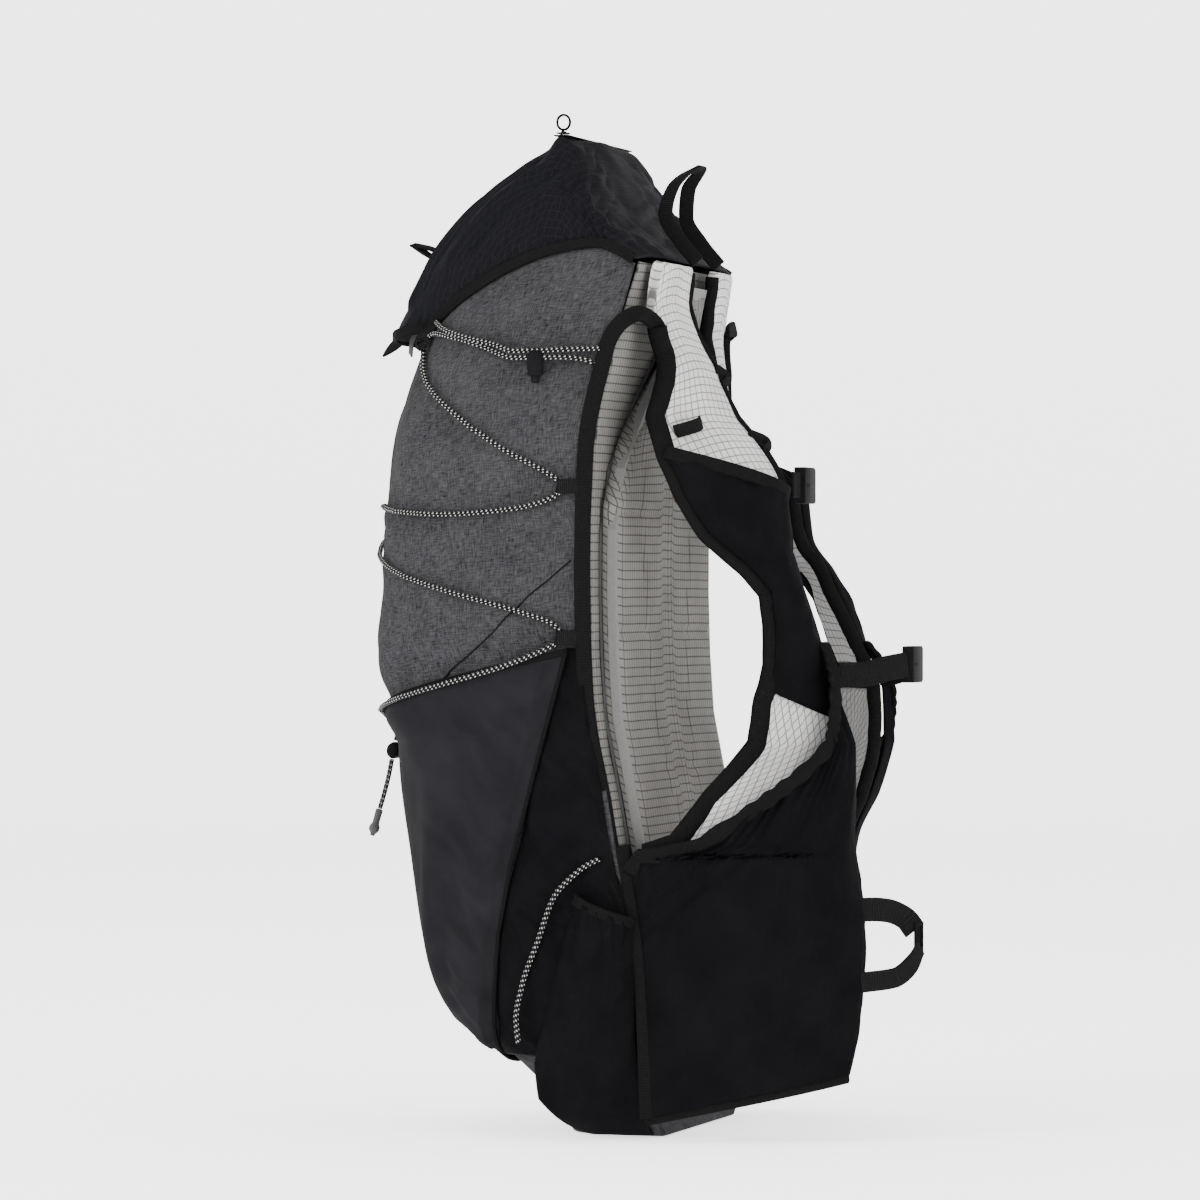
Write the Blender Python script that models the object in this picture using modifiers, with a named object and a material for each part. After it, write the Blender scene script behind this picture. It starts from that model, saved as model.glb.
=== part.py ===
"""A ski backpack with a vest harness, modelled piece by piece in Blender.

The pack stands on its flat base at the origin. +X points towards the wearer, so the harness is on
the +X side and the outer face of the bag on the -X side. The wearer's right side is -Y, and +Z is
up. Sizes below are millimetres; MM turns them into Blender's metres.
"""

import math

import bmesh
import bpy
import numpy as np
from mathutils import Matrix, Vector

MM = 0.001
GAP = 0.4
RIGHT, LEFT = -1, 1
SIDES = {"right": RIGHT, "left": LEFT}

# The bag: height, then the x of its back, the x of its front and its half width there.
BACK_X = ((0, 62), (100, 57), (190, 43), (260, 31), (330, 29), (400, 31), (466, 43), (514, 54))
FRONT_X = (
    (0, -6), (12, -12), (30, -22), (47, -40), (70, -66), (110, -82), (180, -92), (228, -99),
    (246, -112), (290, -121), (340, -121), (390, -115), (430, -107), (466, -95), (526, -66),
)
HALF_WIDTH = ((0, 86), (12, 104), (30, 117), (60, 126), (120, 130), (400, 130), (450, 125), (526, 113))
TOP_EDGE = ((0.0, 462), (0.35, 472), (0.5, 492), (0.62, 507), (0.75, 517), (0.87, 520), (1.0, 510))
ROUNDNESS = 0.6
WALL = 2.0
BASE_TOP = 48.0
CORNER = 0.44

# The vest: how far its half-ellipse reaches forward at each height, and the edges of its panels as
# angles round it. The soft harness hangs more closed on the wearer's left than on the right.
VEST_DEPTH = {
    RIGHT: (
        (12, 166), (60, 163), (120, 157), (174, 146), (230, 138), (300, 127), (350, 118), (380, 106),
        (400, 90), (425, 60), (450, 33), (474, 14), (492, 5), (512, 3),
    ),
    LEFT: (
        (12, 86), (60, 88), (120, 94), (169, 106), (200, 122), (230, 134), (260, 138), (288, 128),
        (314, 116), (334, 106), (351, 92), (380, 84), (400, 62), (425, 40), (450, 18), (474, 8), (512, 3),
    ),
}
VEST_HALF = {
    RIGHT: ((12, 132), (350, 132), (400, 121), (450, 103), (480, 97), (512, 92)),
    LEFT: ((12, 132), (350, 132), (400, 119), (450, 94), (480, 82), (512, 76)),
}
VEST_START = ((12, 0.8), (420, 2.0), (450, 9.8), (512, 10.4))
ARMHOLE = (
    (166, 2), (173, 11), (200, 22), (230, 37), (257, 42), (275, 46), (300, 48), (319, 48), (333, 42),
    (353, 31), (376, 25), (398, 22), (422, 22), (443, 27), (458, 27), (474, 18), (490, 6), (512, 4),
)
CHEST_EDGE = (
    (12, 40), (60, 47), (120, 53), (174, 59), (230, 70), (262, 68), (298, 65), (341, 60), (366, 62),
    (380, 65), (400, 67), (425, 70), (450, 73), (492, 72), (512, 70),
)
PADDING = 7.0
STRAP_FOOT = 261.0
SEAM = 3.0
STRAP_TOP = 511.0

# The lid, from its front tip to its back edge: x and z along the middle, and where its side edge is
# as a share of the way round the bag.
LID_RIDGE = (
    (-117, 470), (-100, 498), (-87, 524), (-67, 548), (-38, 573), (-18, 584), (-4, 587), (6, 585),
    (15, 570), (22, 551), (33, 534), (56, 516),
)
LID_EDGE_START, LID_EDGE_END = 0.37, 0.995
LID_HOOK = (-106.5, 0.0, 450.8)
ZIP_X, ZIP_Z, ZIP_HALF = -4.0, 587.7, 74.0

LACE_RADIUS = 1.5
LACE_LIFT = 2.4
LOCK_SIZE = (10.0, 15.0, 8.0)
LOCK_BORE = 2.2
BUTTON_RADIUS = 2.7
BUTTON_LENGTH = 9.0
BUTTON_TRAVEL = 3.0

BUCKLE_WIDTH, BUCKLE_DEPTH = 22.0, 7.0
UPPER_BUCKLE = (127.5, 382.0)
LOWER_BUCKLE = (193.0, 276.0)
WEBBING = 15.0
WEBBING_THICKNESS = 1.5

HEATHER = ((0.105, 0.105, 0.107), 0.85)
NYLON = ((0.026, 0.026, 0.030), 0.6)
STRETCH = ((0.045, 0.044, 0.050), 0.75)
MESH = ((0.38, 0.36, 0.34), 0.9)
BLACK_WEB = ((0.020, 0.018, 0.018), 0.8)
PLASTIC = ((0.015, 0.015, 0.016), 0.4)
FOAM = ((0.55, 0.55, 0.53), 0.95)
HDPE = ((0.75, 0.75, 0.73), 0.5)
METAL = ((0.6, 0.6, 0.62), 0.35)


def clear_scene():
    for obj in list(bpy.data.objects):
        bpy.data.objects.remove(obj, do_unlink=True)


def collection(name, hidden=False):
    made = bpy.data.collections.new(name)
    made.hide_render = hidden
    bpy.context.scene.collection.children.link(made)
    return made


def finish_material(name, finish):
    colour, roughness = finish
    material = bpy.data.materials.new(name)
    material.use_nodes = True
    shader = material.node_tree.nodes["Principled BSDF"]
    shader.inputs["Base Color"].default_value = (*colour, 1.0)
    shader.inputs["Roughness"].default_value = roughness
    shader.inputs["Metallic"].default_value = 1.0 if finish is METAL else 0.0
    return material


def add(name, data, finish, matrix=None):
    obj = bpy.data.objects.new(name, data)
    data.materials.append(finish_material(name, finish))
    if matrix is not None:
        obj.matrix_world = matrix
    PARTS.objects.link(obj)
    return obj


def smooth(table, at):
    """The value at a place on the smooth curve, with no overshoot, through a table of (place, value)."""
    places, values = (np.array(column, float) for column in zip(*table))
    at = float(np.clip(at, places[0], places[-1]))
    rises = np.diff(values) / np.diff(places)
    turning = rises[:-1] * rises[1:] <= 0
    steady = np.where(turning, 1.0, rises[:-1] + rises[1:])
    middle = np.where(turning, 0.0, 2 * rises[:-1] * rises[1:] / steady)
    slopes = np.concatenate([rises[:1], middle, rises[-1:]])
    i = int(np.clip(np.searchsorted(places, at, side="right") - 1, 0, len(places) - 2))
    step = places[i + 1] - places[i]
    t = (at - places[i]) / step
    rise = values[i + 1] - values[i]
    return float(
        values[i] + rise * t * t * (3 - 2 * t)
        + step * (slopes[i] * t * (1 - t) ** 2 - slopes[i + 1] * t * t * (1 - t))
    )


def linear(table, at):
    places, values = zip(*table)
    return float(np.interp(at, places, values))


def section_point(angle, z, out):
    back = smooth(BACK_X, z)
    depth = back - smooth(FRONT_X, z) + out
    x = back - depth * math.cos(angle) ** ROUNDNESS
    y = (smooth(HALF_WIDTH, z) + out) * math.sin(angle) ** ROUNDNESS
    return x, y


def share_to_angle():
    """Angles round the bag's section against the share of its edge covered from the front middle."""
    angles = np.linspace(0, math.pi / 2, 400)
    points = np.array([section_point(max(a, 0.0), 300, 0) for a in angles])
    lengths = np.concatenate([[0], np.cumsum(np.linalg.norm(np.diff(points, axis=0), axis=1))])
    return lengths / lengths[-1], angles


SHARES, ANGLES = share_to_angle()


def bag_point(share, z, out=0.0):
    """A point on the bag: share runs from -1, the right back corner, over the front to 1, the left."""
    angle = float(np.interp(abs(share), SHARES, ANGLES))
    x, y = section_point(angle, z, out)
    return x, math.copysign(y, share), z


def share_at(x, z):
    """How far round the bag its side reaches x at a height."""
    back = smooth(BACK_X, z)
    reach = (back - x) / (back - smooth(FRONT_X, z))
    angle = math.acos(min(max(reach, 0.0), 1.0) ** (1 / ROUNDNESS))
    return float(np.interp(angle, ANGLES, SHARES))


def bag_top(share):
    return smooth(TOP_EDGE, abs(share))


def vest_point(side, degrees, z, out=0.0):
    """A point on the vest's outer face, degrees round from the bag's back corner to the chest."""
    angle = math.radians(degrees)
    start = smooth(BACK_X, z) + linear(VEST_START, z)
    x = start + (smooth(VEST_DEPTH[side], z) + out) * math.sin(angle)
    y = side * (smooth(VEST_HALF[side], z) + out) * math.cos(angle)
    return x, y, z


def lid_point(share, along):
    """A point on the lid's outer face: share from -1 to 1 across it, along from front tip to back."""
    places = np.linspace(0, 1, len(LID_RIDGE))
    ridge_x = smooth(tuple(zip(places, [x for x, _ in LID_RIDGE])), along)
    ridge_z = smooth(tuple(zip(places, [z for _, z in LID_RIDGE])), along)
    round_bag = LID_EDGE_START + (LID_EDGE_END - LID_EDGE_START) * along
    edge_x, edge_y, edge_z = bag_point(round_bag, bag_top(round_bag), 1.0)
    turn = math.radians(90) * abs(share)
    side = math.sin(turn) ** 0.75
    drop = 1 - math.cos(turn) ** 0.75
    x = ridge_x + (edge_x - ridge_x) * drop
    z = ridge_z + (edge_z + 2.4 - ridge_z) * drop
    return x, math.copysign(edge_y * side, share), z


def sheet(name, place, across, along, thickness, finish):
    """A fabric panel: a grid whose point at (u, v) is place(u, v), thickened behind its face."""
    bm = bmesh.new()
    bmesh.ops.create_grid(bm, x_segments=across, y_segments=along, size=0.5)
    for vert in bm.verts:
        vert.co = Vector(place(vert.co.x + 0.5, vert.co.y + 0.5)) * MM
    mesh = bpy.data.meshes.new(name)
    bm.to_mesh(mesh)
    bm.free()
    obj = add(name, mesh, finish)
    solid = obj.modifiers.new("Thickness", "SOLIDIFY")
    solid.thickness = thickness * MM
    solid.offset = -1.0
    return obj


def loft(name, rings, finish, matrix=None):
    """A closed solid through rings of matching points, capped at both ends."""
    bm = bmesh.new()
    rows = [[bm.verts.new(Vector(point) * MM) for point in ring] for ring in rings]
    for lower, upper in zip(rows, rows[1:]):
        for i in range(len(lower)):
            j = (i + 1) % len(lower)
            bm.faces.new((lower[i], lower[j], upper[j], upper[i]))
    bm.faces.new(rows[0][::-1])
    bm.faces.new(rows[-1])
    bmesh.ops.recalc_face_normals(bm, faces=bm.faces)
    mesh = bpy.data.meshes.new(name)
    bm.to_mesh(mesh)
    bm.free()
    return add(name, mesh, finish, matrix)


def ribbon(name, points, across, width, finish, thickness=WEBBING_THICKNESS):
    """Webbing along points; across is its width's direction, or a list of one for each point."""
    points = [Vector(point) for point in points]
    rings = []
    for i, point in enumerate(points):
        run = (points[min(i + 1, len(points) - 1)] - points[max(i - 1, 0)]).normalized()
        wide = Vector(across[i] if isinstance(across, list) else across).normalized() * width / 2
        deep = run.cross(wide).normalized() * thickness / 2
        rings.append([point - wide - deep, point + wide - deep, point + wide + deep, point - wide + deep])
    return loft(name, rings, finish)


def tube(name, points, radius, finish, resolution=2, cyclic=False):
    curve = bpy.data.curves.new(name, "CURVE")
    curve.dimensions = "3D"
    curve.bevel_depth = radius * MM
    curve.bevel_resolution = resolution
    curve.use_fill_caps = not cyclic
    spline = curve.splines.new("POLY")
    spline.points.add(len(points) - 1)
    for spot, point in zip(spline.points, points):
        spot.co = (*(Vector(point) * MM), 1.0)
    spline.use_cyclic_u = cyclic
    return add(name, curve, finish)


def block(name, size, centre, finish, matrix=None):
    bm = bmesh.new()
    bmesh.ops.create_cube(bm, size=1.0)
    for vert in bm.verts:
        vert.co = (Vector(vert.co[i] * size[i] for i in range(3)) + Vector(centre)) * MM
    mesh = bpy.data.meshes.new(name)
    bm.to_mesh(mesh)
    bm.free()
    return add(name, mesh, finish, matrix)


def cutter(name, shape, size, centre, matrix=None, turn=None):
    """A box or a cylinder kept out of the model, for the Boolean cuts."""
    bm = bmesh.new()
    if shape == "box":
        bmesh.ops.create_cube(bm, size=1.0)
    else:
        bmesh.ops.create_cone(
            bm, cap_ends=True, segments=16, radius1=0.5, radius2=0.5, depth=1.0
        )
    for vert in bm.verts:
        spot = Vector(vert.co[i] * size[i] for i in range(3))
        if turn is not None:
            spot = turn @ spot
        vert.co = (spot + Vector(centre)) * MM
    mesh = bpy.data.meshes.new(name)
    bm.to_mesh(mesh)
    bm.free()
    obj = bpy.data.objects.new(name, mesh)
    if matrix is not None:
        obj.matrix_world = matrix
    obj.hide_render = True
    obj.display_type = "WIRE"
    CUTTERS.objects.link(obj)
    return obj


def cut(obj, *tools):
    for tool in tools:
        boolean = obj.modifiers.new(tool.name, "BOOLEAN")
        boolean.operation = "DIFFERENCE"
        boolean.object = tool
    return obj


def spread(low, high, part):
    return low + (high - low) * part


def between(points, count):
    """Points evenly spread along the smooth curve through a route's own points."""
    points = np.array(points, float)
    steps = np.concatenate([[0], np.cumsum(np.linalg.norm(np.diff(points, axis=0), axis=1))])
    tables = [tuple(zip(steps, points[:, i])) for i in range(points.shape[1])]
    return [tuple(smooth(table, at) for table in tables) for at in np.linspace(0, steps[-1], count)]


# Bag -------------------------------------------------------------------------------------------


def front_panel():
    def place(u, v):
        share = spread(CORNER, -CORNER, u)
        return bag_point(share, spread(BASE_TOP + GAP, bag_top(share), v))

    sheet("front_panel", place, 12, 14, WALL, HEATHER)


def side_panel(word, side):
    def place(u, v):
        share = side * spread(CORNER + 0.004, 0.998, u if side < 0 else 1 - u)
        return bag_point(share, spread(BASE_TOP + GAP, bag_top(share), v))

    sheet(f"side_panel_{word}", place, 9, 12, WALL, HEATHER)


def section_ring(z, inset=0.0):
    """The whole edge of the bag's section at a height: the rounded front and the straight back."""
    ring = [bag_point(share, z, -inset) for share in np.linspace(-0.998, 0.998, 20)]
    half = ring[-1][1]
    back = smooth(BACK_X, z) - inset
    return ring + [(back, y, z) for y in np.linspace(half, -half, 6)[1:-1]]


def base_panel():
    heights = (0.0, 4.0, 12.0, 26.0, BASE_TOP)
    inner = (BASE_TOP, 28.0, 12.0, 4.0)
    rings = [section_ring(z) for z in heights]
    rings += [section_ring(z, 2.5) for z in inner]
    loft("base_panel", rings, HEATHER)


def back_place(half, low, high, out):
    """A panel laid on the bag's back, out from it, whose half width is a table or a number."""
    def place(u, v):
        z = spread(low, high, v)
        wide = linear(half, z) if isinstance(half, tuple) else half
        return smooth(BACK_X, z) + out, spread(-wide, wide, u), z

    return place


def rear_wall():
    half = ((BASE_TOP, 120), (120, 126), (400, 126), (450, 120), (512, 108))
    sheet("rear_wall", back_place(half, BASE_TOP + GAP, 511, -0.2), 4, 12, 1.5, NYLON)


BACK_HALF = ((60, 104), (120, 112), (370, 112), (405, 88), (430, 58), (455, 26), (512, 22))


def back_system():
    sheet("framesheet", back_place(BACK_HALF, 64, 500, 1.8), 4, 12, 1.5, HDPE)
    sheet("frame_stay", back_place(6.5, 72, 492, 4.9), 1, 12, 2.5, METAL)
    sheet("back_foam", back_place(BACK_HALF, 64, 500, 10.2), 4, 12, 5.0, FOAM)
    sheet("back_mesh", back_place(BACK_HALF, 64, 500, 11.8), 4, 12, 1.2, MESH)


def collar():
    inset = -(WALL + GAP + 0.4)

    def place(u, v):
        share = spread(0.9, -0.9, u)
        return bag_point(share, bag_top(share) + spread(-26, 2.0, v), inset)

    sheet("collar", place, 16, 2, 1.2, NYLON)


POCKET_EDGE_X = ((40, -32), (120, -24), (160, -16), (284, 16))


def front_stretch_pocket():
    """It wraps the front and both sides; its mouth rises from the front middle round to the sides."""
    def place(u, v):
        round_front = 1 - 2 * u
        z = spread(41, 234 + 50 * abs(round_front) ** 1.15, v ** 1.4)
        share = round_front * share_at(linear(POCKET_EDGE_X, z), z)
        round_off = (1 - abs(round_front) ** 3) * math.sin(math.pi * min(v, 0.5)) ** 0.5
        return bag_point(share, z, 4.8 + 9 * round_off)

    sheet("front_stretch_pocket", place, 20, 10, 1.2, STRETCH)


def bottle_pocket(word, side):
    def place(u, v):
        turn = u if side < 0 else 1 - u
        low = 5 + 22 * max(0.0, 1 - turn / 0.45) ** 2 + 3 * turn
        z = spread(low, spread(141, 127, turn), v)
        front = spread(-6, 21, min(1.0, max(0.0, (z - 44) / 97)))
        x = spread(front, 56, turn)
        bulge = math.sin(math.pi * turn) ** 0.6 * min(1.0, v * 2.4) ** 0.6
        clear = linear(HALF_WIDTH, z) + 5.2
        return x, side * (clear + 15 * bulge), z

    sheet(f"bottle_pocket_{word}", place, 8, 8, 1.2, STRETCH)


# Lid -------------------------------------------------------------------------------------------


def lid():
    sheet("lid_top", lambda u, v: lid_point(2 * u - 1, 1 - v), 12, 14, 2.0, NYLON)

    def floor_place(u, v):
        along = spread(0.93, 0.16, v)
        across = (2 * u - 1) * 0.93
        x, y, _ = lid_point(across, along)
        round_bag = spread(LID_EDGE_START, LID_EDGE_END, along)
        z = bag_top(round_bag) + 4.6 + 8 * (1 - across * across)
        middle = -20
        return middle + (x - middle) * 0.94, y * 0.95, z

    sheet("lid_floor", floor_place, 8, 10, 1.0, NYLON)


def lid_zip():
    block("lid_zip", (9, 2 * ZIP_HALF, 0.9), (ZIP_X, 0, ZIP_Z + 0.45), BLACK_WEB)
    top = ZIP_Z + 0.9 + GAP
    block("lid_zip_slider", (7, 10, 1.8), (ZIP_X, -ZIP_HALF + 6, top + 0.9), PLASTIC)
    ring = [
        (ZIP_X + 4.4 * math.cos(turn), -ZIP_HALF + 6, top + 7.0 + 4.4 * math.sin(turn))
        for turn in np.linspace(0, 2 * math.pi, 17)[:-1]
    ]
    tube("lid_zip_pull", ring, 0.7, BLACK_WEB, resolution=1, cyclic=True)


def lid_strap():
    route = between([(-106, 0, 478), (-108, 0, 472), (-107, 0, 465), (-106, 0, 458)], 6)
    ribbon("lid_strap", route, (0, 1, 0), 16, BLACK_WEB)
    block("lid_hook", (2.4, 20, 13), LID_HOOK, PLASTIC)


def haul_loop():
    half = [(67, 26, 514.6), (56, 26, 528), (46, 25, 545), (50, 18, 561), (60, 7, 571)]
    route = half + [(x, -y, z) for x, y, z in reversed(half)]
    ribbon("haul_loop", between(route, 15), (1, 0, 0.5), 11, BLACK_WEB, 2.0)


# Lace ------------------------------------------------------------------------------------------

# The lace on one side, from its sewn top end to the front lock: millimetres round the bag from the
# front middle, and height. It stands further out where it runs through its cord lock.
LACE_ROUTE = (
    (246, 451), (236, 454), (222, 455), (206, 455), (190, 455), (176, 458), (158, 463), (133, 468),
    (107, 471), (96, 466), (107, 452), (153, 424), (199, 400), (229, 386), (237, 380), (229, 373),
    (204, 367), (158, 364), (115, 366), (64, 370), (31, 368), (22, 362), (31, 355), (64, 345),
    (115, 331), (166, 318), (214, 306), (233, 299), (237, 292), (229, 286), (204, 276), (158, 264),
    (115, 255), (64, 247), (31, 241), (15, 238),
)
HALF_ROUND = 255.0
LOCK_ROUND, LOCK_HEIGHT = 206.0, 455.0
LOCK_LIFT = 6.2


def lace_point(side, length, z):
    near = abs(length - LOCK_ROUND) if z > LOCK_HEIGHT - 3 else LOCK_ROUND
    rise = (LOCK_LIFT - LACE_LIFT) * (1 - min(max((near - 18) / 20, 0.0), 1.0))
    return bag_point(side * length / HALF_ROUND, z, LACE_LIFT + rise)


def lace(word, side):
    route = [lace_point(side, length, z) for length, z in between(LACE_ROUTE, 78)]
    tube(f"lace_{word}", route, LACE_RADIUS, BLACK_WEB, resolution=1)


def lace_tab(name, share, z, long=0.030, tall=9.0):
    """A webbing loop sewn flat on the panel, just past the lace's turn."""
    def place(u, v):
        return bag_point(spread(share + long, share, u), z + tall * (v - 0.5), 2.0)

    sheet(name, place, 2, 1, 1.5, BLACK_WEB)


def lace_tabs():
    for word, side in SIDES.items():
        for level, z in (("middle", 380), ("lower", 292)):
            low = 0.939 if side > 0 else -0.969
            lace_tab(f"lace_tab_{level}_{word}", low, z)
    lace_tab("lace_anchor_front", -0.060, 362, 0.120)


def lock_frame(origin, run, out):
    """Axes of a cord lock: X along the cord, Z out of the bag, and the button along -Y."""
    run = Vector(run).normalized()
    out = (Vector(out) - run * Vector(out).dot(run)).normalized()
    rows = Matrix((run, out.cross(run), out)).transposed().to_4x4()
    return Matrix.Translation(Vector(origin) * MM) @ rows


def cord_lock(name, matrix):
    wide, tall, deep = LOCK_SIZE
    shift = tall / 2 - 4.5
    barrel = block(name, LOCK_SIZE, (0, -shift, 0), PLASTIC, matrix)
    bore = cutter(
        f"{name}_bore", "cylinder", (2 * LOCK_BORE, 2 * LOCK_BORE, 4 * wide), (0, 0, 0), matrix,
        Matrix.Rotation(math.radians(90), 3, "Y"),
    )
    mouth = -shift - tall / 2
    well = BUTTON_RADIUS + 0.4
    recess = cutter(
        f"{name}_recess", "cylinder", (2 * well, 2 * well, 16), (0, mouth, 0), matrix,
        Matrix.Rotation(math.radians(90), 3, "X"),
    )
    cut(barrel, bore, recess)
    floor = mouth + 8
    centre = floor - BUTTON_TRAVEL - GAP - BUTTON_LENGTH / 2
    rings = [
        [
            (
                BUTTON_RADIUS * math.cos(turn),
                centre + part * BUTTON_LENGTH,
                BUTTON_RADIUS * math.sin(turn),
            )
            for turn in np.linspace(0, 2 * math.pi, 13)[:-1]
        ]
        for part in (-0.5, 0.5)
    ]
    loft(f"{name}_button", rings, PLASTIC, matrix)


TAIL_TOP = (-128.5, -6.0, 218.0)
TAIL_ROUTE = (TAIL_TOP, (-130.5, -6.2, 208), (-133.0, -6.4, 198), (-136.0, -6.6, 188))


def cord_locks():
    for word, side in SIDES.items():
        here, ahead, behind = (
            Vector(lace_point(side, LOCK_ROUND + step, LOCK_HEIGHT)) for step in (0, 12, -12)
        )
        matrix = lock_frame(here, (behind - ahead) * side, (0, side, 0))
        cord_lock(f"cord_lock_{word}", matrix)


def front_cord_lock():
    down = Vector(TAIL_ROUTE[1]) - Vector(TAIL_ROUTE[0])
    above = down.normalized() * (LOCK_SIZE[0] / 2 + GAP)
    matrix = lock_frame(Vector(TAIL_TOP) - above, down, (-1, 0, 0))
    cord_lock("cord_lock_front", matrix)
    tube("lace_tail", between(TAIL_ROUTE, 7), LACE_RADIUS, BLACK_WEB, resolution=2)
    before, last = Vector(TAIL_ROUTE[-2]), Vector(TAIL_ROUTE[-1])
    start = last + (last - before).normalized() * GAP
    end = start + Vector((-4.5, -0.6, -16))
    tube("lace_tail_knot", between([start, (start + end) / 2, end], 4), 2.6, BLACK_WEB, resolution=2)


def ski_cord(word, side):
    route = [(36, 164), (28, 160), (19, 153), (9, 142), (-1, 116), (-11, 90), (-15, 70), (-14, 56)]
    points = [(x, side * (linear(HALF_WIDTH, z) + 3.4), z) for x, z in between(route, 14)]
    tube(f"ski_cord_{word}", points, LACE_RADIUS, BLACK_WEB, resolution=1)


# Vest ------------------------------------------------------------------------------------------


def vest_sheet(name, side, low_edge, high_edge, low, high, out, thickness, finish, cells):
    def place(u, v):
        turn = u if side < 0 else 1 - u
        z = spread(low(turn), high(turn), v)
        degrees = spread(low_edge(z), high_edge(z), turn)
        return vest_point(side, degrees, z, out(turn, v))

    return sheet(name, place, cells[0], cells[1], thickness, finish)


def armhole(z):
    return linear(ARMHOLE, z) if z > ARMHOLE[0][0] else 0.0


def chest(z):
    return linear(CHEST_EDGE, z)


def shoulder_strap(word, side):
    vest_sheet(
        f"shoulder_strap_{word}", side, armhole, chest, lambda t: STRAP_FOOT + SEAM,
        lambda t: STRAP_TOP, lambda t, v: 0.0, PADDING, MESH, (5, 22),
    )


def side_wing(word, side):
    vest_sheet(
        f"side_wing_{word}", side, armhole, chest, lambda t: 12 + 24 * t, lambda t: STRAP_FOOT,
        lambda t, v: 0.0, PADDING, MESH, (7, 18),
    )


def strap_pocket(word, side):
    """Stretch pocket on the shoulder strap, open at its top."""
    vest_sheet(
        f"strap_pocket_{word}", side, lambda z: armhole(z) + 1.5, lambda z: chest(z) - 1.5,
        lambda t: 268 + 26 * t, lambda t: 400 - 24 * t,
        lambda t, v: 1.8 + 11 * math.sin(math.pi * t) ** 0.6 * min(1, v * 2.2) ** 0.7, 1.2, STRETCH,
        (6, 10),
    )


def wing_pocket(word, side):
    """Stretch pocket over the side wing; its gathered mouth slopes up towards the chest."""
    vest_sheet(
        f"wing_pocket_{word}", side, lambda z: armhole(z) + 3 if z > 166 else 2,
        lambda z: chest(z) - 1.5, lambda t: 20 + 22 * t, lambda t: 156 + 132 * t ** 0.9,
        lambda t, v: 1.8 + 12 * math.sin(math.pi * t) ** 0.6 * math.sin(math.pi * min(v, 0.5)) ** 0.7,
        1.2, STRETCH, (7, 12),
    )


# Fastenings ------------------------------------------------------------------------------------


def buckle(level, x, z):
    """A side-release buckle: the socket is on the right and its tongue slides in from the left."""
    socket = block(
        f"{level}_buckle_socket", (BUCKLE_DEPTH, 26, BUCKLE_WIDTH), (x, -6, z), PLASTIC
    )
    slot = cutter(f"{level}_buckle_slot", "box", (3.6, 36, BUCKLE_WIDTH - 5), (x, 7, z))
    cut(socket, slot)
    outline = [
        (-9.5, 6.5), (6.9, 8.0), (6.9 + GAP + 0.2, 8.0), (7.5, 10.5), (17.0, 10.5),
    ]
    rings = [
        [(x - 1.4, y, z - half), (x + 1.4, y, z - half), (x + 1.4, y, z + half), (x - 1.4, y, z + half)]
        for y, half in outline
    ]
    loft(f"{level}_buckle_tongue", rings, PLASTIC)


def chest_anchor(side, z):
    """Where a sternum strap is sewn, just past the vest's chest edge."""
    return vest_point(side, chest(z) + 1.5, z, 3.0)


def upper_sternum():
    x, z = UPPER_BUCKLE
    buckle("upper", x, z)
    right = between([chest_anchor(RIGHT, z), (x, -32, z), (x, -19.6, z)], 5)
    ribbon("upper_sternum_webbing_right", right, (0, 0, 1), WEBBING, BLACK_WEB)
    left = between([chest_anchor(LEFT, z), (x - 5, 30, z), (x - 3, 18, z), (x - 3, 8.5, z)], 6)
    ribbon("upper_sternum_webbing_left", left, (0, 0, 1), WEBBING, BLACK_WEB, 1.2)


def lower_sternum():
    x, z = LOWER_BUCKLE
    buckle("lower", x, z)
    low = z - 6
    right = [chest_anchor(RIGHT, low), (x - 25, -39, low), (x - 9, -30, z - 2), (x, -19.6, z)]
    ribbon("lower_sternum_webbing_right", between(right, 8), (0, 0, 1), WEBBING, BLACK_WEB)
    left = [chest_anchor(LEFT, low), (x - 25, 39, low), (x - 9, 27, z - 2), (x - 3, 16, z), (x - 3, 8.5, z)]
    ribbon("lower_sternum_webbing_left", between(left, 9), (0, 0, 1), WEBBING, BLACK_WEB, 1.2)


def waist_strap(word, side):
    """A short adjuster strap on the wing's front edge, threaded through a ladder lock."""
    edge = chest(130)

    def route(stops):
        return between([vest_point(side, edge + turn, z, out) for turn, z, out in stops], 5)

    upper = route(((1.5, 134, 2.6), (6, 133, 3.4), (11, 128, 4.4)))
    ribbon(f"waist_strap_{word}", upper, (0, 0, 1), 14, BLACK_WEB)
    lower = route(((10, 104, 6), (6, 98, 4.5), (3.5, 94, 3)))
    ribbon(f"waist_webbing_{word}", lower, (0, 0, 1), 12, BLACK_WEB)
    lock = Vector(vest_point(side, edge + 13, 116, 6))
    run = Vector(vest_point(side, edge + 17, 116, 6)) - lock
    matrix = Matrix.Translation(lock * MM) @ Matrix.Rotation(math.atan2(run.y, run.x), 4, "Z")
    frame = block(f"ladder_lock_{word}", (7, 3, 20), (0, 0, 0), PLASTIC, matrix)
    slots = [
        cutter(f"ladder_slot_{word}_{i}", "box", (3, 9, 4), (0, 0, z), matrix)
        for i, z in enumerate((-5, 5))
    ]
    cut(frame, *slots)


def build():
    front_panel()
    base_panel()
    rear_wall()
    back_system()
    collar()
    front_stretch_pocket()
    lid()
    lid_zip()
    lid_strap()
    haul_loop()
    lace_tabs()
    cord_locks()
    front_cord_lock()
    for word, side in SIDES.items():
        side_panel(word, side)
        bottle_pocket(word, side)
        lace(word, side)
        ski_cord(word, side)
        shoulder_strap(word, side)
        side_wing(word, side)
        strap_pocket(word, side)
        wing_pocket(word, side)
        waist_strap(word, side)
    upper_sternum()
    lower_sternum()


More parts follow.
